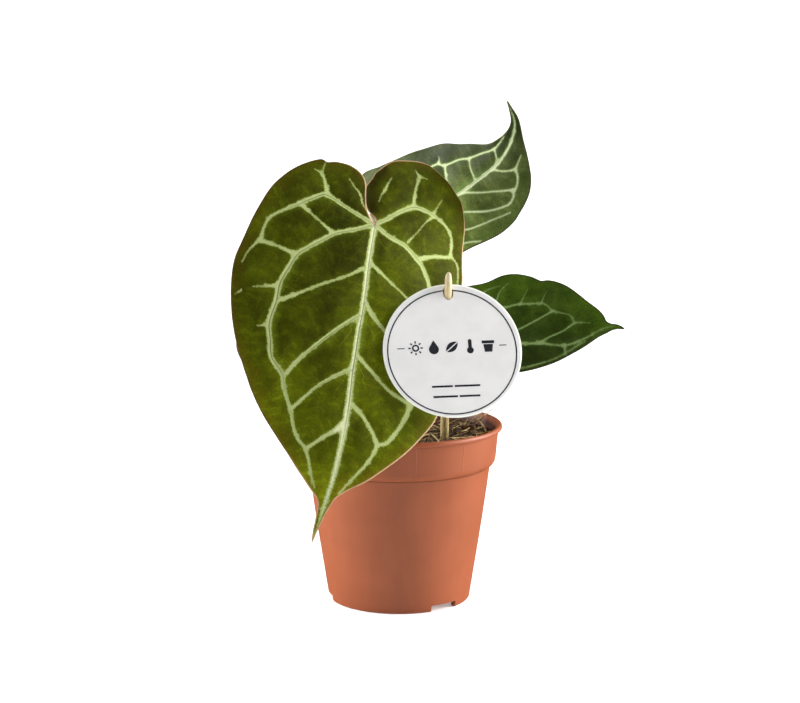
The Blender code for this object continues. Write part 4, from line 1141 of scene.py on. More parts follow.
def vein_fields(spots, veins):
    """What each flat point knows of the veins: gap to their edges, the side, groove and paleness."""
    total = np.zeros(len(spots))
    total_main = np.full(len(spots), 1e-30)
    best = np.full(len(spots), 1e9)
    best_wide = np.full(len(spots), 1e9)
    reach = np.zeros(len(spots))
    side = np.full(len(spots), 9.0)
    groove = np.zeros(len(spots))
    pale = np.zeros(len(spots))
    stout = np.zeros(len(spots))
    for number, (widths, depth, points) in enumerate(veins):
        line = even_line(points, VEIN_STEP)
        signed, along = from_line(spots, line)
        half = width_at(along, widths)
        gap = np.abs(signed) - half
        near = np.exp(-np.clip(gap, -3, 60) / VEIN_BLEND)
        paleness = np.clip((half - 0.22) / 0.33, 0, 1)
        total += near
        total_main += near * paleness
        pale += near * paleness
        stout += near * (1.0 if number == 0 else np.clip((half - 1.2) / 0.2, 0, 1))
        if depth > 0:
            off = signed - 0.2 * half
            closer = np.abs(off) < np.abs(side)
            side = np.where(closer, off, side)
            fading = np.interp(along, (0, 0.25, 0.4, 0.6, 0.7, 1), (0.8, 0.9, 1.2, 0.9, 0.3, 0))
            groove = np.where(closer, depth * fading, groove)
        best = np.minimum(best, gap)
        if max(widths) > 0.9:
            reach = np.where(gap < best_wide, along * run_of(line)[-1], reach)
            best_wide = np.minimum(best_wide, gap)
    gap = np.where(best < 12, -VEIN_BLEND * np.log(total + 1e-30), best)
    main_gap = np.clip(-VEIN_BLEND * np.log(total_main), -3, 30)
    weight = np.maximum(total, 1e-30)
    return dict(vein_gap=gap, main_gap=main_gap, reach=reach, vein_side=side, groove=groove,
                pale=pale / weight, stout=stout / weight)


def leaf_chart(shape):
    """The flat outline filled with points, closest together along its veins and rim."""
    tip = (shape["tip"], 0)
    left = even_line(shape["left"] + [tip], RIM_STEP)
    right = even_line(shape["right"] + [tip], RIM_STEP)
    rim = np.vstack([left, right[-2::-1]])
    spots = Spots()
    for spot in rim:
        spots.add(tuple(spot), 0.0)
    inward = np.roll(rim, -1, axis=0) - np.roll(rim, 1, axis=0)
    inward = np.stack([inward[:, 1], -inward[:, 0]], -1) / np.linalg.norm(inward, axis=1)[:, None]
    if not inside(rim[40:41] + inward[40:41] * 0.3, rim)[0]:
        inward = -inward
    candidates = [(rim + inward * step, gap) for step, gap in ((0.6, 0.45), (1.5, 0.8))]
    for widths, _, points in shape["veins"]:
        line = even_line(points, 1.25)
        ahead = np.gradient(line, axis=0)
        across = np.stack([-ahead[:, 1], ahead[:, 0]], -1)
        across /= np.linalg.norm(across, axis=1)[:, None]
        half = width_at(np.linspace(0, 1, len(line)), widths)[:, None]
        for share, more in ((0, 0), (0.5, 0), (1, 0), (1, 0.7), (1, 1.7)):
            for way in (1, -1):
                candidates.append((line + across * way * (half * share + more), 0.33 + more / 4))
    low, high = rim.min(axis=0), rim.max(axis=0)
    rows = np.arange(low[0], high[0], FILL_STEP * math.sqrt(0.75))
    columns = np.arange(low[1], high[1], FILL_STEP)
    fill = [(s, t + (k % 2) * FILL_STEP / 2) for k, s in enumerate(rows) for t in columns]
    candidates.append((np.array(fill), 1.15))
    for points, gap in candidates:
        for spot in points[inside(points, rim)]:
            spots.add(tuple(spot), gap)
    loop = [(k, (k + 1) % len(rim)) for k in range(len(rim))]
    flat, _, faces, *_ = delaunay_2d_cdt([Vector(s) for s in spots.points], loop, [], 1, 1e-6)
    return np.array([tuple(spot) for spot in flat]), faces, rim


def painted_light_and_tone_at(name, s, t):
    """The blade's share of painted light and shade, with some of its own tone, at each flat point,
    eased between the places it is given at.
    """
    along, across, shares = PAINTED_LIGHT_AND_TONE[name]
    rows = np.array([np.interp(t, across, row) for row in shares])
    return np.array([np.interp(a, along, column) for a, column in zip(s, rows.T)])


def tuck_of(spots, relief):
    """How far a lobe is tucked back at each flat point, from 0 to 1, and how deep it goes."""
    if "tuck" not in relief:
        return np.zeros(len(spots)), 0.0
    s, t = spots[:, 0], spots[:, 1]
    fold = np.abs(from_line(spots, even_line(relief["tuck"], VEIN_STEP))[0])
    tucked = np.clip(1 - fold / relief["tuck_reach"], 0, 1) * (t > -12) * (s < 0)
    tucked = np.where(right_lobe(spots), tucked, 0)
    return tucked, np.interp(-s, *zip(*relief["tuck_depths"])) * tucked ** 2


def cloud_at(spots, size, slice_height):
    """Cloudy noise at each flat point, its lumps about size millimetres across."""
    return np.array([noise.noise(Vector((s / size, t / size, slice_height))) for s, t in spots])


def skins(spots, fields, middle, facing, relief):
    """The blade's upper and under skin at each flat point."""
    swell = cloud_at(spots, SWELL_SIZE, 3.1)
    wave = cloud_at(spots, RIPPLE_SIZE, 8.7)
    near_rim = np.exp(-fields["rim_gap"] / RIPPLE_REACH)
    pucker = 1 - np.exp(-(np.maximum(fields["main_gap"], 0) / PUCKER_REACH) ** 1.5)
    tuck, tuck_depth = tuck_of(spots, relief)
    # The tuck attribute says how dark the tucked-back lobe is painted, as painted shade
    fields["tuck"] = tuck * np.clip((-spots[:, 0] - 3) / 6, 0, 1)
    height = (relief["pucker"] * pucker + SWELL_RISE * swell
              + relief["ripple"] * near_rim * wave) - tuck_depth
    furrow = FURROW_DEPTH * fields["groove"] * np.exp(-(fields["vein_side"] / FURROW_WIDTH) ** 2)
    rib = RIB_RISE * np.exp(-(np.maximum(fields["main_gap"] + 0.6, 0) / RIB_WIDTH) ** 2)
    thin = SKIN_HALF * np.clip(0.55 + fields["rim_gap"] / 3.0, 0, 1)
    return (middle + facing * (height + thin - furrow)[:, None],
            middle + facing * (height - thin - rib)[:, None])


def closed(top, under, middle, facing, faces):
    """Both skins with a bead between them all round.

    Returns the points, the faces, each face's finish and the flat points that lie on the edge."""
    used = dict.fromkeys(pair for face in faces for pair in zip(face, face[1:] + face[:1]))
    edge = [(a, b) for a, b in used if (b, a) not in used]
    follows = dict(edge)
    before = {b: a for a, b in edge}
    on_edge = sorted(follows)
    beads = []
    for k in on_edge:
        along = middle[follows[k]] - middle[before[k]]
        out = Vector(along).cross(Vector(facing[k])).normalized()
        beads.append((top[k] + under[k]) / 2 + np.array(out) * RIM_BEAD)
    count = len(top)
    place = {k: 2 * count + i for i, k in enumerate(on_edge)}
    polygons = [*faces, *[tuple(k + count for k in face[::-1]) for face in faces]]
    for a, b in edge:
        polygons += [(b, a, place[a], place[b]), (place[b], place[a], a + count, b + count)]
    marks = [0] * len(faces) + [1] * len(faces) + [2] * 2 * len(edge)
    return np.vstack([top, under, beads]), polygons, marks, on_edge


def leaf(name, looks):
    """Two skins over the blade's middle surface, with relief from the veins, and a beaded rim."""
    shape = dict(LEAVES[name])
    shape["veins"] = shape["veins"] + spurs(shape["veins"], random.Random(name))
    blade = blade_of(shape)
    spots, faces, rim = leaf_chart(shape)
    s, t = spots[:, 0], spots[:, 1]
    fields = vein_fields(spots, shape["veins"])
    fields["rim_gap"] = np.abs(from_line(spots, np.vstack([rim, rim[:1]]))[0])
    fields["across"] = t
    # Painted light and shade across the blade, with some of its own tone
    fields["shade"] = painted_light_and_tone_at(name, s, t)
    middle, facing = blade.point(s, t), blade.normal(s, t)
    top, under = skins(spots, fields, middle, facing, RELIEF[name])
    verts, polygons, marks, on_edge = closed(top, under, middle, facing, faces)
    mesh = bpy.data.meshes.new("blade_" + name)
    mesh.from_pydata(verts.tolist(), [], polygons)
    for field in BLADE_FIELDS:
        values = fields[field]
        attribute = mesh.attributes.new(field, "FLOAT", "POINT")
        attribute.data.foreach_set("value", np.concatenate([values, values, values[on_edge]]))
    chart = np.concatenate([spots, spots, spots[on_edge]]) / CHART_SIZE + 0.35
    corner = np.zeros(len(mesh.loops), int)
    mesh.loops.foreach_get("vertex_index", corner)
    mesh.uv_layers.new(name="chart").data.foreach_set("uv", chart[corner].ravel())
    settle(placed("blade_" + name, mesh), "leaf", looks, "leaf_" + name, smooth=70.0)
    mesh.polygons.foreach_set("material_index", marks)


def right_lobe(spots):
    """True for flat points on the front blade's lobe that lies on the t > 0 side of the notch."""
    notch = np.array(FRONT_RIGHT_LOBE)
    limit = np.interp(-spots[:, 0], -notch[:, 0], notch[:, 1])
    return (spots[:, 0] < 0) & (spots[:, 1] > limit)


def stalk(name, look):
    """From the crown up behind the blade, over the knee and down under its midrib."""
    petiole_shape = PETIOLES[name]
    blade = blade_of(LEAVES[name])
    middle, _, side, up = blade.frame(np.array([-6.0, 0.0, 6.0]))
    roof = math.hypot(1, max(abs(slope) for slope in blade.fold))
    knee = (middle[0] - up[0] * (KNEE_SKIN + KNEE_RADIUS + 2.2) * roof
            + side[0] * petiole_shape.get("lean", 0.0))
    under = middle[1] - up[1] * (KNEE_SKIN + KNEE_RADIUS + 0.3) * roof
    end = middle[2] - up[2] * (KNEE_SKIN + 1.4) * roof
    foot = np.array([*petiole_shape["foot"], CROWN_TOP + 0.3])
    bends = np.array(petiole_shape["bends"], float)
    line = even_line([foot, foot + (0, 0, 3.5), *bends, knee, under, end], 1.6)
    line[0] = foot - (0, 0, 1.5)
    run = run_of(line)
    radii = PETIOLE_RADIUS * np.interp(run / run[-1], (0, 0.06, 0.85, 1), (1.55, 1.1, 0.85, 0.85))
    left = run[-1] - run
    swollen = np.exp(-((left - 11) / 7.0) ** 2)
    radii = radii + (KNEE_RADIUS - radii) * swollen
    radii *= np.interp(left, (0, 3, 7), (0.35, 0.75, 1))
    piece = round_strands("stalk_" + name, [(line, radii)], 6)
    spots = np.array([vert.co for vert in piece.data.vertices])
    nearest = np.linalg.norm(spots[:, None] - line[None], axis=-1).argmin(axis=1)
    attribute = piece.data.attributes.new("along", "FLOAT", "POINT")
    attribute.data.foreach_set("value", run[nearest] / run[-1])
    settle(piece, "petiole", [look], "petiole_" + name, smooth=60.0)


# ---------------------------------------------------------------- pot and soil

def make_pot():
    """The pot's wall and floor, with notches in its foot ring and drain holes."""
    pot = turned("nursery_pot", POT_FOOT + POT_OUTSIDE + POT_INSIDE, POT_SEGMENTS)
    finished(pot, "BEVEL", width=0.35, segments=2, limit_method="ANGLE",
             angle_limit=math.radians(24))
    for turn in NOTCH_TURNS:
        angle = math.radians(turn)
        notch = added("notch", bpy.ops.mesh.primitive_cube_add, size=1,
                      location=(*around(NOTCH_RADIUS, angle), 0), rotation=(0, 0, angle),
                      scale=NOTCH_SIZE)
        finished(notch, "BEVEL", width=0.6, segments=3)
        cut_away(pot, notch)
    for k in range(DRAIN_COUNT):
        cut_away(pot, added("drain", bpy.ops.mesh.primitive_cylinder_add, vertices=28,
                            radius=DRAIN_RADIUS, depth=DRAIN_DEPTH,
                            location=(*around(DRAIN_CIRCLE, 2 * math.pi * k / DRAIN_COUNT),
                                      FLOOR_TOP)))
    settle(pot, "terracotta_plastic", [terracotta_plastic()], "pot", smooth=32.0)


def make_soil():
    """Peat filling the pot, lumpy on top. Returned in millimetres, before it is settled."""
    rings = round(SOIL_RADIUS / SOIL_RING)
    top = [(max(0.01, SOIL_RADIUS * k / rings), SOIL_LEVEL) for k in range(rings + 1)]
    soil = turned("peat_fill", top + SOIL_WALL, SOIL_SEGMENTS)
    spread = soil.vertex_groups.new(name="top")
    for vert in soil.data.vertices:
        if vert.co.z > SOIL_LEVEL - 0.1:
            radius = math.hypot(vert.co.x, vert.co.y)
            spread.add([vert.index], min(1.0, 0.25 + (SOIL_RADIUS - radius) / 6), "REPLACE")
    for size, strength in SOIL_LUMPS:
        roughened(soil, size, strength, direction="Z", vertex_group="top")
    return soil


def soil_spot(rng, margin):
    """A random place on the soil, clear of its edge by the margin."""
    radius = (SOIL_RADIUS - margin) * math.sqrt(rng.random())
    return around(radius, rng.uniform(0, 2 * math.pi))


def tumbled(rng, *leans):
    """A random turn about the upright axis, then leans of up to so many radians about X and Y."""
    turn = Matrix.Rotation(rng.uniform(0, 6.28), 4, "Z")
    for lean, axis in zip(leans, "XY"):
        turn = turn @ Matrix.Rotation(rng.uniform(-lean, lean), 4, axis)
    return turn


def surface_of(piece):
    """The piece's faces as something that can be asked for heights."""
    return BVHTree.FromPolygons([vert.co for vert in piece.data.vertices],
                                [face.vertices for face in piece.data.polygons])


def ground(surface, x, y):
    """Height of the soil below a point, or None off its edge."""
    place, *_ = surface.ray_cast(Vector((x, y, SOIL_LEVEL + 30)), Vector((0, 0, -1)))
    return place.z if place else None


def clear_of_plant(x, y, reach):
    """False where the crown or the stake stands."""
    at_crown = math.hypot(x - CROWN_AXIS[0], y - CROWN_AXIS[1]) < CROWN_RADIUS + reach
    at_stake = math.hypot(x - STAKE_IN_SOIL.x, y - STAKE_IN_SOIL.y) < STAKE_RADIUS + reach
    return not at_crown and not at_stake


def lump(name, size, seed):
    """An irregular lump: a ball of twenty faces, cut finer, pushed in and out and thinned."""
    piece = added(name, bpy.ops.mesh.primitive_ico_sphere_add, subdivisions=2, radius=1)
    with Editing(piece):
        bpy.ops.transform.resize(value=size)
        bpy.ops.transform.vertex_random(offset=0.16, seed=random.Random(seed).randrange(900))
    return finished(piece, "DECIMATE", ratio=0.5)


def rough_block(name, size, cuts, offset, seed):
    """A block cut into a grid whose points are pushed about."""
    piece = added(name, bpy.ops.mesh.primitive_cube_add, size=1, scale=size)
    with Editing(piece):
        bpy.ops.mesh.subdivide(number_cuts=cuts)
        bpy.ops.transform.vertex_random(offset=offset, seed=seed)
    return piece


def scatter_crumbs(surface, look):
    """Loose crumbs of peat, most of them small, half sunk in the soil."""
    rng = random.Random(41)
    kinds = [lump(f"lump_{k}", size, k) for k, size in enumerate(CRUMB_KINDS)]
    crumbs = []
    while len(crumbs) < CRUMBS:
        x, y = soil_spot(rng, 1.5)
        size = 0.45 + 1.25 * rng.random() ** 2.6
        if not clear_of_plant(x, y, size):
            continue
        place = Matrix.Translation((x, y, ground(surface, x, y) + size * 0.25))
        turn = tumbled(rng, 0.6)
        crumbs.append(copied(rng.choice(kinds), place @ turn @ Matrix.Scale(size, 4)))
    piece = joined("soil_crumbs", crumbs)
    for kind in kinds:
        bpy.data.objects.remove(kind)
    settle(piece, "peat", [look], smooth=30.0)


def fibre_line(surface, rng):
    """A thin fibre lying over the lumps: its points and thickness, or None where it finds no room."""
    x, y = soil_spot(rng, 2)
    heading = rng.uniform(0, 2 * math.pi)
    length = rng.uniform(4, 11) if rng.random() < 0.7 else rng.uniform(11, 24)
    bow = rng.uniform(-0.05, 0.05)
    thick = rng.uniform(0.14, 0.42)
    lift = rng.uniform(0.3, 1.4)
    pitch = rng.uniform(-0.12, 0.12) if rng.random() < 0.55 else rng.uniform(0.2, 0.6)
    line = []
    for k in range(9):
        height = ground(surface, x, y) if math.hypot(x, y) < SOIL_RADIUS - 1 else None
        if height is None or not clear_of_plant(x, y, 0.8):
            break
        line.append((x, y, height + thick + lift + pitch * k * length / 9))
        x += math.cos(heading) * length / 8
        y += math.sin(heading) * length / 8
        heading += bow * length / 8 + rng.uniform(-0.12, 0.12)
    if len(line) < 5:
        return None
    heights = np.array(line)[:, 2]
    level = np.linspace(heights[0], heights[-1], len(line))
    level += max(0, (heights - lift - level).max())
    return [(a, b, 0.25 * h + 0.75 * z) for (a, b, h), z in zip(line, level)], thick


def scatter_fibres(surface, look):
    """Thin roots and bits of straw lying over each other on the soil."""
    rng = random.Random(12)
    strands = []
    while len(strands) < FIBRES:
        fibre = fibre_line(surface, rng)
        if fibre:
            points, thick = fibre
            last = len(points) - 1
            shares = np.interp(range(len(points)), (0, 1, last - 1, last), (0.5, 1, 1, 0.4))
            strands.append((points, thick * shares))
    for ends in LONG_STRAWS:
        line = even_line(ends, 2.0)
        strands.append((line, np.interp(range(len(line)), (0, 2, len(line) - 1),
                                        (0.3, LONG_STRAW_RADIUS, 0.25))))
    piece = round_strands("straw_fibres", strands, 0)
    settle(piece, "straw", [look], *[f"straw_{k}" for k in range(1, 6)], smooth=60.0)


def scatter_splinters(surface, look):
    """Flat pale slivers of bark and wood between the crumbs."""
    rng = random.Random(5)
    sliver = rough_block("sliver", (5.0, 1.5, 0.5), cuts=2, offset=0.22, seed=3)
    slivers = []
    while len(slivers) < SPLINTERS:
        x, y = soil_spot(rng, 5)
        if not clear_of_plant(x, y, 4):
            continue
        place = Matrix.Translation((x, y, ground(surface, x, y) + 0.7))
        turn = tumbled(rng, 0.5, 0.25)
        slivers.append(copied(sliver, place @ turn @ Matrix.Scale(rng.uniform(0.5, 1.2), 4)))
    bpy.data.objects.remove(sliver)
    settle(joined("bark_slivers", slivers), "bark", [look], smooth=30.0)


def make_chips(surface, look):
    """The larger chips of bark, split along their layers."""
    for number, ((x, y), size, turn) in enumerate(BARK, 1):
        chip = rough_block(f"bark_piece_{number}", size, cuts=5, offset=0.35, seed=number)
        roughened(chip, 2.5, 1.2)
        finished(chip, "BEVEL", width=0.2, segments=1, limit_method="ANGLE",
                 angle_limit=math.radians(40))
        chip.data.transform(Matrix.Translation((x, y, ground(surface, x, y) + size[2] / 2 + 0.2))
                            @ Matrix.Rotation(math.radians(turn), 4, "Z")
                            @ Matrix.Rotation(0.12, 4, "Y"))
        settle(chip, "bark", [look], f"bark_chip_{number}", smooth=35.0)


# ---------------------------------------------------------------- crown, sheaths and roots

def make_crown(look):
    """The short stem, ringed by the scars of old leaves."""
    profile = [(0.01, CROWN_FOOT), (CROWN_RADIUS - 1.5, CROWN_FOOT),
               (CROWN_RADIUS - 0.3, CROWN_FOOT + 2)]
    for k in range(SCARS):
        profile.append((CROWN_RADIUS - 0.15 - 0.35 * (k % 4 == 1), CROWN_FOOT + 4 + k * SCAR_GAP))
    profile += [(CROWN_RADIUS - 0.7, CROWN_TOP - 0.8), (CROWN_RADIUS - 1.6, CROWN_TOP),
                (0.01, CROWN_TOP)]
    crown = turned("crown_stem", profile, 64)
    crown.data.transform(Matrix.Translation((*CROWN_AXIS, 0)))
    roughened(crown, 4, 0.8, middle=0.7)
    settle(crown, "petiole", [look], "plant_crown", smooth=50.0)


def make_sheath(number, turn, rise, spread, look):
    """A papery sheath hugging the crown, narrowing, curling out and fraying towards its tip."""
    rng = random.Random(number)
    rows, columns = SHEATH_GRID
    verts = []
    for row in range(rows + 1):
        share = row / rows
        for column in range(columns + 1):
            across = 2 * column / columns - 1
            fray = 0.5 * rng.random() * share if column in (0, columns) else 0
            crease = 0.25 * math.sin(9 * across + number) + 0.18 * math.sin(23 * across)
            radius = CROWN_RADIUS + 0.75 + 2.5 * share ** 2 + crease * (0.3 + share)
            x, y = around(radius, math.radians(turn + spread * across * (1 - share ** 1.6)
                                               * (1 - fray)))
            verts.append((CROWN_AXIS[0] + x, CROWN_AXIS[1] + y,
                          SHEATH_FOOT + rise * share * 0.97))
    corners = (row * (columns + 1) + column for row in range(rows) for column in range(columns))
    mesh = bpy.data.meshes.new(f"papery_sheath_{number}")
    mesh.from_pydata(verts, [], [(k, k + 1, k + columns + 2, k + columns + 1) for k in corners])
    sheath = welded(placed(mesh.name, mesh))
    finished(sheath, "SOLIDIFY", thickness=0.3, offset=0.0)
    settle(sheath, "dry_sheath", [look], f"cataphyll_{number}", smooth=50.0)


def make_root(number, turn, reach, look):
    """An aerial root out of the crown's side, over in a low arch and down into the soil."""
    way = Vector((*around(1, math.radians(turn)), 0))
    centre = Vector((*CROWN_AXIS, 0))
    out = [(CROWN_RADIUS - 1.0, 99.8), (CROWN_RADIUS + 2.5, 100.0), (reach - 1.5, 99.2),
           (reach, 97.0), (reach + 0.2, 91.0)]
    line = even_line([tuple(centre + way * radius + Vector((0, 0, height)))
                      for radius, height in out], 0.7)
    radii = [ROOT_RADIUS * (1 + 0.08 * math.sin(2.1 * k + number)) for k in range(len(line))]
    piece = round_strands(f"air_root_{number}", [(line, radii)], 4)
    settle(piece, "aerial_root", [look], f"aerial_root_{number}", smooth=60.0)


# ---------------------------------------------------------------- stake and label

def make_stake(look):
    """A turned stick leaning between its hole in the soil and the label's hole."""
    way = (STAKE_AT_LABEL - STAKE_IN_SOIL).normalized()
    foot = STAKE_IN_SOIL - way * STAKE_FOOT_DEPTH
    tip = STAKE_AT_LABEL + way * STAKE_TIP_RISE
    length = (tip - foot).length
    profile = STAKE_FOOT + [(radius, length - down) for radius, down in STAKE_TIP]
    stake = turned("wooden_stake", profile, 40)
    finished(stake, "SUBSURF", levels=1, render_levels=1)
    stake.data.transform(Matrix.Translation(foot) @ way.to_track_quat("Z", "Y").to_matrix().to_4x4())
    settle(stake, "wood", [look], "label_stake", smooth=50.0)


def label_place():
    """Matrix that takes the label from lying at the origin, hole towards +Y, to its place."""
    face = Vector((math.sin(LABEL_TURN) * math.cos(LABEL_LEAN),
                   -math.cos(LABEL_TURN) * math.cos(LABEL_LEAN), math.sin(LABEL_LEAN)))
    right = Vector((0, 0, 1)).cross(face).normalized()
    up = face.cross(right)
    turned_right = right * math.cos(LABEL_ROLL) + up * math.sin(LABEL_ROLL)
    turned_up = up * math.cos(LABEL_ROLL) - right * math.sin(LABEL_ROLL)
    axes = Matrix((turned_right, turned_up, face)).transposed().to_4x4()
    return Matrix.Translation(STAKE_AT_LABEL - turned_up * LABEL_HANG) @ axes


def ink_plate(piece):
    """Gives flat ink its hair of thickness and lays it on the card's face."""
    piece.data.transform(Matrix.Translation((0, 0, LABEL_HALF + INK_RISE / 2)))
    return finished(piece, "SOLIDIFY", thickness=INK_RISE, offset=0.0)


def ink_ring(name, radius, width, segments, x=0.0, y=0.0):
    """A flat ring, by drawing a circle and pulling it inwards."""
    piece = added(name, bpy.ops.mesh.primitive_circle_add, vertices=segments,
                  radius=radius + width / 2, location=(x, y, 0))
    share = (radius - width / 2) / (radius + width / 2)
    with Editing(piece):
        bpy.ops.mesh.extrude_region_move(TRANSFORM_OT_translate={"value": (0, 0, 0)})
        bpy.ops.transform.resize(value=(share, share, 1), center_override=(x, y, 0))
    return ink_plate(piece)


def ink_shape(name, points, x=0.0, y=0.0):
    """A flat filled shape drawn point by point."""
    mesh = bpy.data.meshes.new(name)
    mesh.from_pydata([(x + a, y + b, 0) for a, b in points], [], [tuple(range(len(points)))])
    return ink_plate(placed(name, mesh))


def arc(radius, start, end, count, x=0.0, y=0.0):
    """Points along an arc about (x, y), its turns in degrees."""
    flat = (around(radius, turn) for turn in np.radians(np.linspace(start, end, count)))
    return [(x + a, y + b) for a, b in flat]


def rotated(points, turn):
    """Flat points turned about the origin."""
    c, s = math.cos(turn), math.sin(turn)
    return [(a * c - b * s, a * s + b * c) for a, b in points]


def bar_points(length, width, turn=0.0):
    """The corners of a bar about the origin."""
    corners = [(-length / 2, -width / 2), (length / 2, -width / 2), (length / 2, width / 2),
               (-length / 2, width / 2)]
    return rotated(corners, turn)


def care_signs():
    """Two dashes with a sun, a drop, a leaf, a thermometer and a pot between them."""
    row = SIGN_ROW
    sun, drop, leaf_sign, thermometer, little_pot = (SIGN_GAP * k for k in range(-2, 3))
    marks = [ink_shape("dash", bar_points(4.0, 0.5), x, row) for x in (-SIGN_DASH, SIGN_DASH)]
    marks.append(ink_ring("sun", 1.6, 0.9, 40, sun, row))
    for k in range(SUN_RAYS):
        turn = 2 * math.pi * k / SUN_RAYS
        x, y = around(3.4, turn)
        marks.append(ink_shape("ray", bar_points(1.3, 0.8, turn), sun + x, row + y))
    marks.append(ink_shape("drop", [(0, 4.2), *arc(2.8, 28, -208, 26, 0, -1.1)], drop, row))
    for half_way in (1, -1):
        bow = [(4.2 * u, half_way * (0.3 + 2.2 * math.sin(math.pi * (u + 1) / 2) ** 0.8))
               for u in np.linspace(half_way, -half_way, 15)]
        marks.append(ink_shape("half_leaf", rotated(bow, LEAF_SIGN_TILT), leaf_sign, row))
    bulb = [*arc(1.9, 122, 418, 26, 0, -2.3), *arc(1.0, 0, 180, 9, 0, 3.2)]
    marks.append(ink_shape("bulb", bulb, thermometer, row))
    side = [(-2.1, -3.6), (2.1, -3.6), (2.7, 0.9), (-2.7, 0.9)]
    marks.append(ink_shape("little_pot", side, little_pot, row))
    marks.append(ink_shape("little_rim", bar_points(7.0, 1.7), little_pot, row + 2.2))
    return marks


def make_label(card_look, edge_look, ink_look):
    """A round card with an oval hole, a printed ring, care signs and rules to write on."""
    radius, half = LABEL_RADIUS, LABEL_HALF
    flat, edge = radius - LABEL_BEVEL, half - LABEL_BEVEL_DROP
    disc = turned("round_label", [(0.01, -half), (flat, -half), (radius, -edge), (radius, edge),
                                  (flat, half), (0.01, half)], 160)
    cut_away(disc, added("hole", bpy.ops.mesh.primitive_cylinder_add, vertices=48, radius=1,
                         depth=4, location=(0, LABEL_HANG, 0), scale=(*LABEL_HOLE, 1)))
    at_edge = [math.hypot(face.center.x, face.center.y) > flat for face in disc.data.polygons]
    disc.data.transform(label_place())
    settle(disc, "card", [card_look, edge_look], "label_disc", smooth=14.0)
    disc.data.polygons.foreach_set("material_index", at_edge)

    marks = [ink_ring("ring", RING_RADIUS, RING_WIDTH, 160), *care_signs()]
    for x, y, length in WRITING_RULES:
        marks.append(ink_shape("rule", bar_points(length, 1.1), x, y))
    label_print = welded(joined("label_print", marks))
    label_print.data.transform(label_place() @ Matrix.Translation((*PRINT_OFF_CENTRE, 0)))
    settle(label_print, "card", [ink_look], smooth=30.0)


# ---------------------------------------------------------------- room

def softbox(name, place, aim, size, power, mirrored_in_skin=True):
    """A broad rectangular lamp facing its aim, unseen itself."""
    lamp = bpy.data.lights.new(name, "AREA")
    lamp.shape = "RECTANGLE"
    lamp.size, lamp.size_y = size
    lamp.energy = power
    holder = placed(name, lamp)
    holder.location = place
    holder.rotation_euler = (Vector(aim) - Vector(place)).to_track_quat("-Z", "Y").to_euler()
    holder.visible_camera = False
    holder.visible_glossy = mirrored_in_skin


def sweep_paper():
    """Matt white paper that glows faintly near the pot and more towards the back."""
    look = Look("sweep_paper", Roughness=0.9, Specular_IOR_Level=0.1, Emission_Strength=1.0)
    near, far = ((*[glow] * 3, 1) for glow in SWEEP_GLOWS)
    glow = look.mix(near, far, look.between(look.axis(look.place, 1), *SWEEP_DEPTHS))
    look.set(Base_Color=look.mix((0.88, 0.88, 0.88, 1), (0.90, 0.90, 0.90, 1), look.noise(300, 2)),
             Emission_Color=glow)
    return look.material


def make_sweep():
    """A pale floor that bends up into the backdrop."""
    sweep = added("paper_sweep", bpy.ops.mesh.primitive_plane_add, size=1)
    with Editing(sweep):
        bpy.ops.transform.resize(value=SWEEP_SIZE)
    points = sweep.data.vertices
    for part in (*points, *sweep.data.polygons):
        part.select = False
    for edge in sweep.data.edges:
        edge.select = all(points[k].co.y > 0 for k in edge.vertices)
    bpy.context.tool_settings.mesh_select_mode = (False, True, False)
    bpy.ops.object.mode_set(mode="EDIT")
    bpy.ops.mesh.extrude_region_move(TRANSFORM_OT_translate={"value": (0, 0, SWEEP_HEIGHT)})
    bpy.ops.object.mode_set(mode="OBJECT")
    finished(sweep, "BEVEL", width=SWEEP_BEND, segments=24, limit_method="ANGLE")
    bpy.ops.object.shade_smooth()
    sweep.data.materials.append(sweep_paper())
    sweep.visible_glossy = False


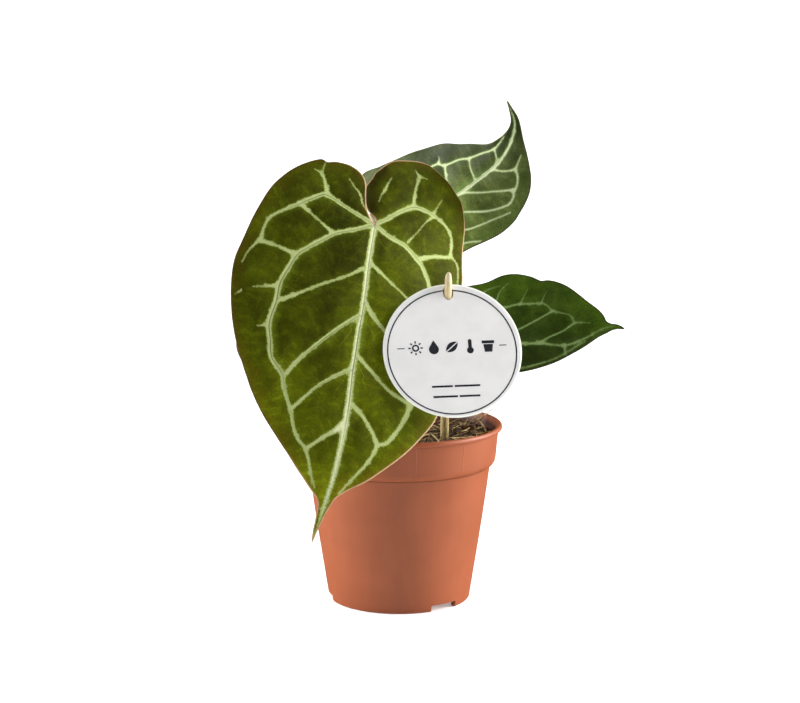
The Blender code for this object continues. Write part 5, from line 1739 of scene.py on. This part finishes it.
def make_air():
    """Plain pale air: it lights the plant faintly and is seen brighter than it shines."""
    world = bpy.data.worlds.new("pale_air")
    bpy.context.scene.world = world
    world.use_nodes = True
    air = world.node_tree.nodes["Background"]
    air.inputs["Color"].default_value = (1, 1, 1, 1)
    seen = world.node_tree.nodes.new("ShaderNodeLightPath").outputs["Is Camera Ray"]
    glow = world.node_tree.nodes.new("ShaderNodeMapRange")
    glow.inputs["To Min"].default_value = AIR_GLOW
    glow.inputs["To Max"].default_value = AIR_SEEN
    world.node_tree.links.new(seen, glow.inputs["Value"])
    world.node_tree.links.new(glow.outputs["Result"], air.inputs["Strength"])


def make_camera():
    """A long lens in front of the pot, a little higher than the plant and looking slightly down."""
    lens = bpy.data.cameras.new("camera")
    lens.sensor_width = FILM_WIDTH
    lens.lens = LENS_LENGTH
    camera = placed("camera", lens)
    camera.location = POT_AXIS + Vector((CAMERA_ASIDE, -CAMERA_AWAY, CAMERA_HEIGHT))
    aim = Vector((0, CAMERA_AWAY, CAMERA_AIM_HEIGHT - CAMERA_HEIGHT))
    camera.rotation_euler = aim.to_track_quat("-Z", "Y").to_euler()
    bpy.context.scene.camera = camera
    bpy.context.scene.view_settings.view_transform = "Standard"


# ---------------------------------------------------------------- the whole object

make_sweep()
make_air()
for box in SOFTBOXES:
    softbox(**box)
make_camera()
make_pot()

soil = make_soil()
surface = surface_of(soil)
bark_look = bark()
scatter_crumbs(surface, crumb())
scatter_fibres(surface, straw())
scatter_splinters(surface, bark_look)
make_chips(surface, bark_look)
settle(soil, "peat", [peat()], "potting_soil", smooth=60.0)

make_crown(crown_skin())
sheath_look = dry_sheath()
for number, sheath in enumerate(SHEATHS, 1):
    make_sheath(number, look=sheath_look, **sheath)
root_look = root_skin()
for number, root in enumerate(ROOTS, 1):
    make_root(number, look=root_look, **root)

under_look = blade_under()
for name in LEAVES:
    short = name.split("_")[0]
    leaf(name, [blade_top(f"blade_{short}_top", **SKINS[name]), under_look,
                blade_rim(f"rim_{short}", *RIMS[name])])
green_stalk = petiole("petiole_green", (142, 146, 88), (158, 160, 106))
# Painted light: the front stalk's knee, seen between the lobes where they shade it, is painted nearly
# white, lighter than its own cream
lit_cream_stalk = petiole("petiole_cream_painted_light", (236, 228, 202), (250, 244, 226))
for name in PETIOLES:
    stalk(name, lit_cream_stalk if name == "front" else green_stalk)

make_stake(wood())
make_label(card(), cut_card(), ink())
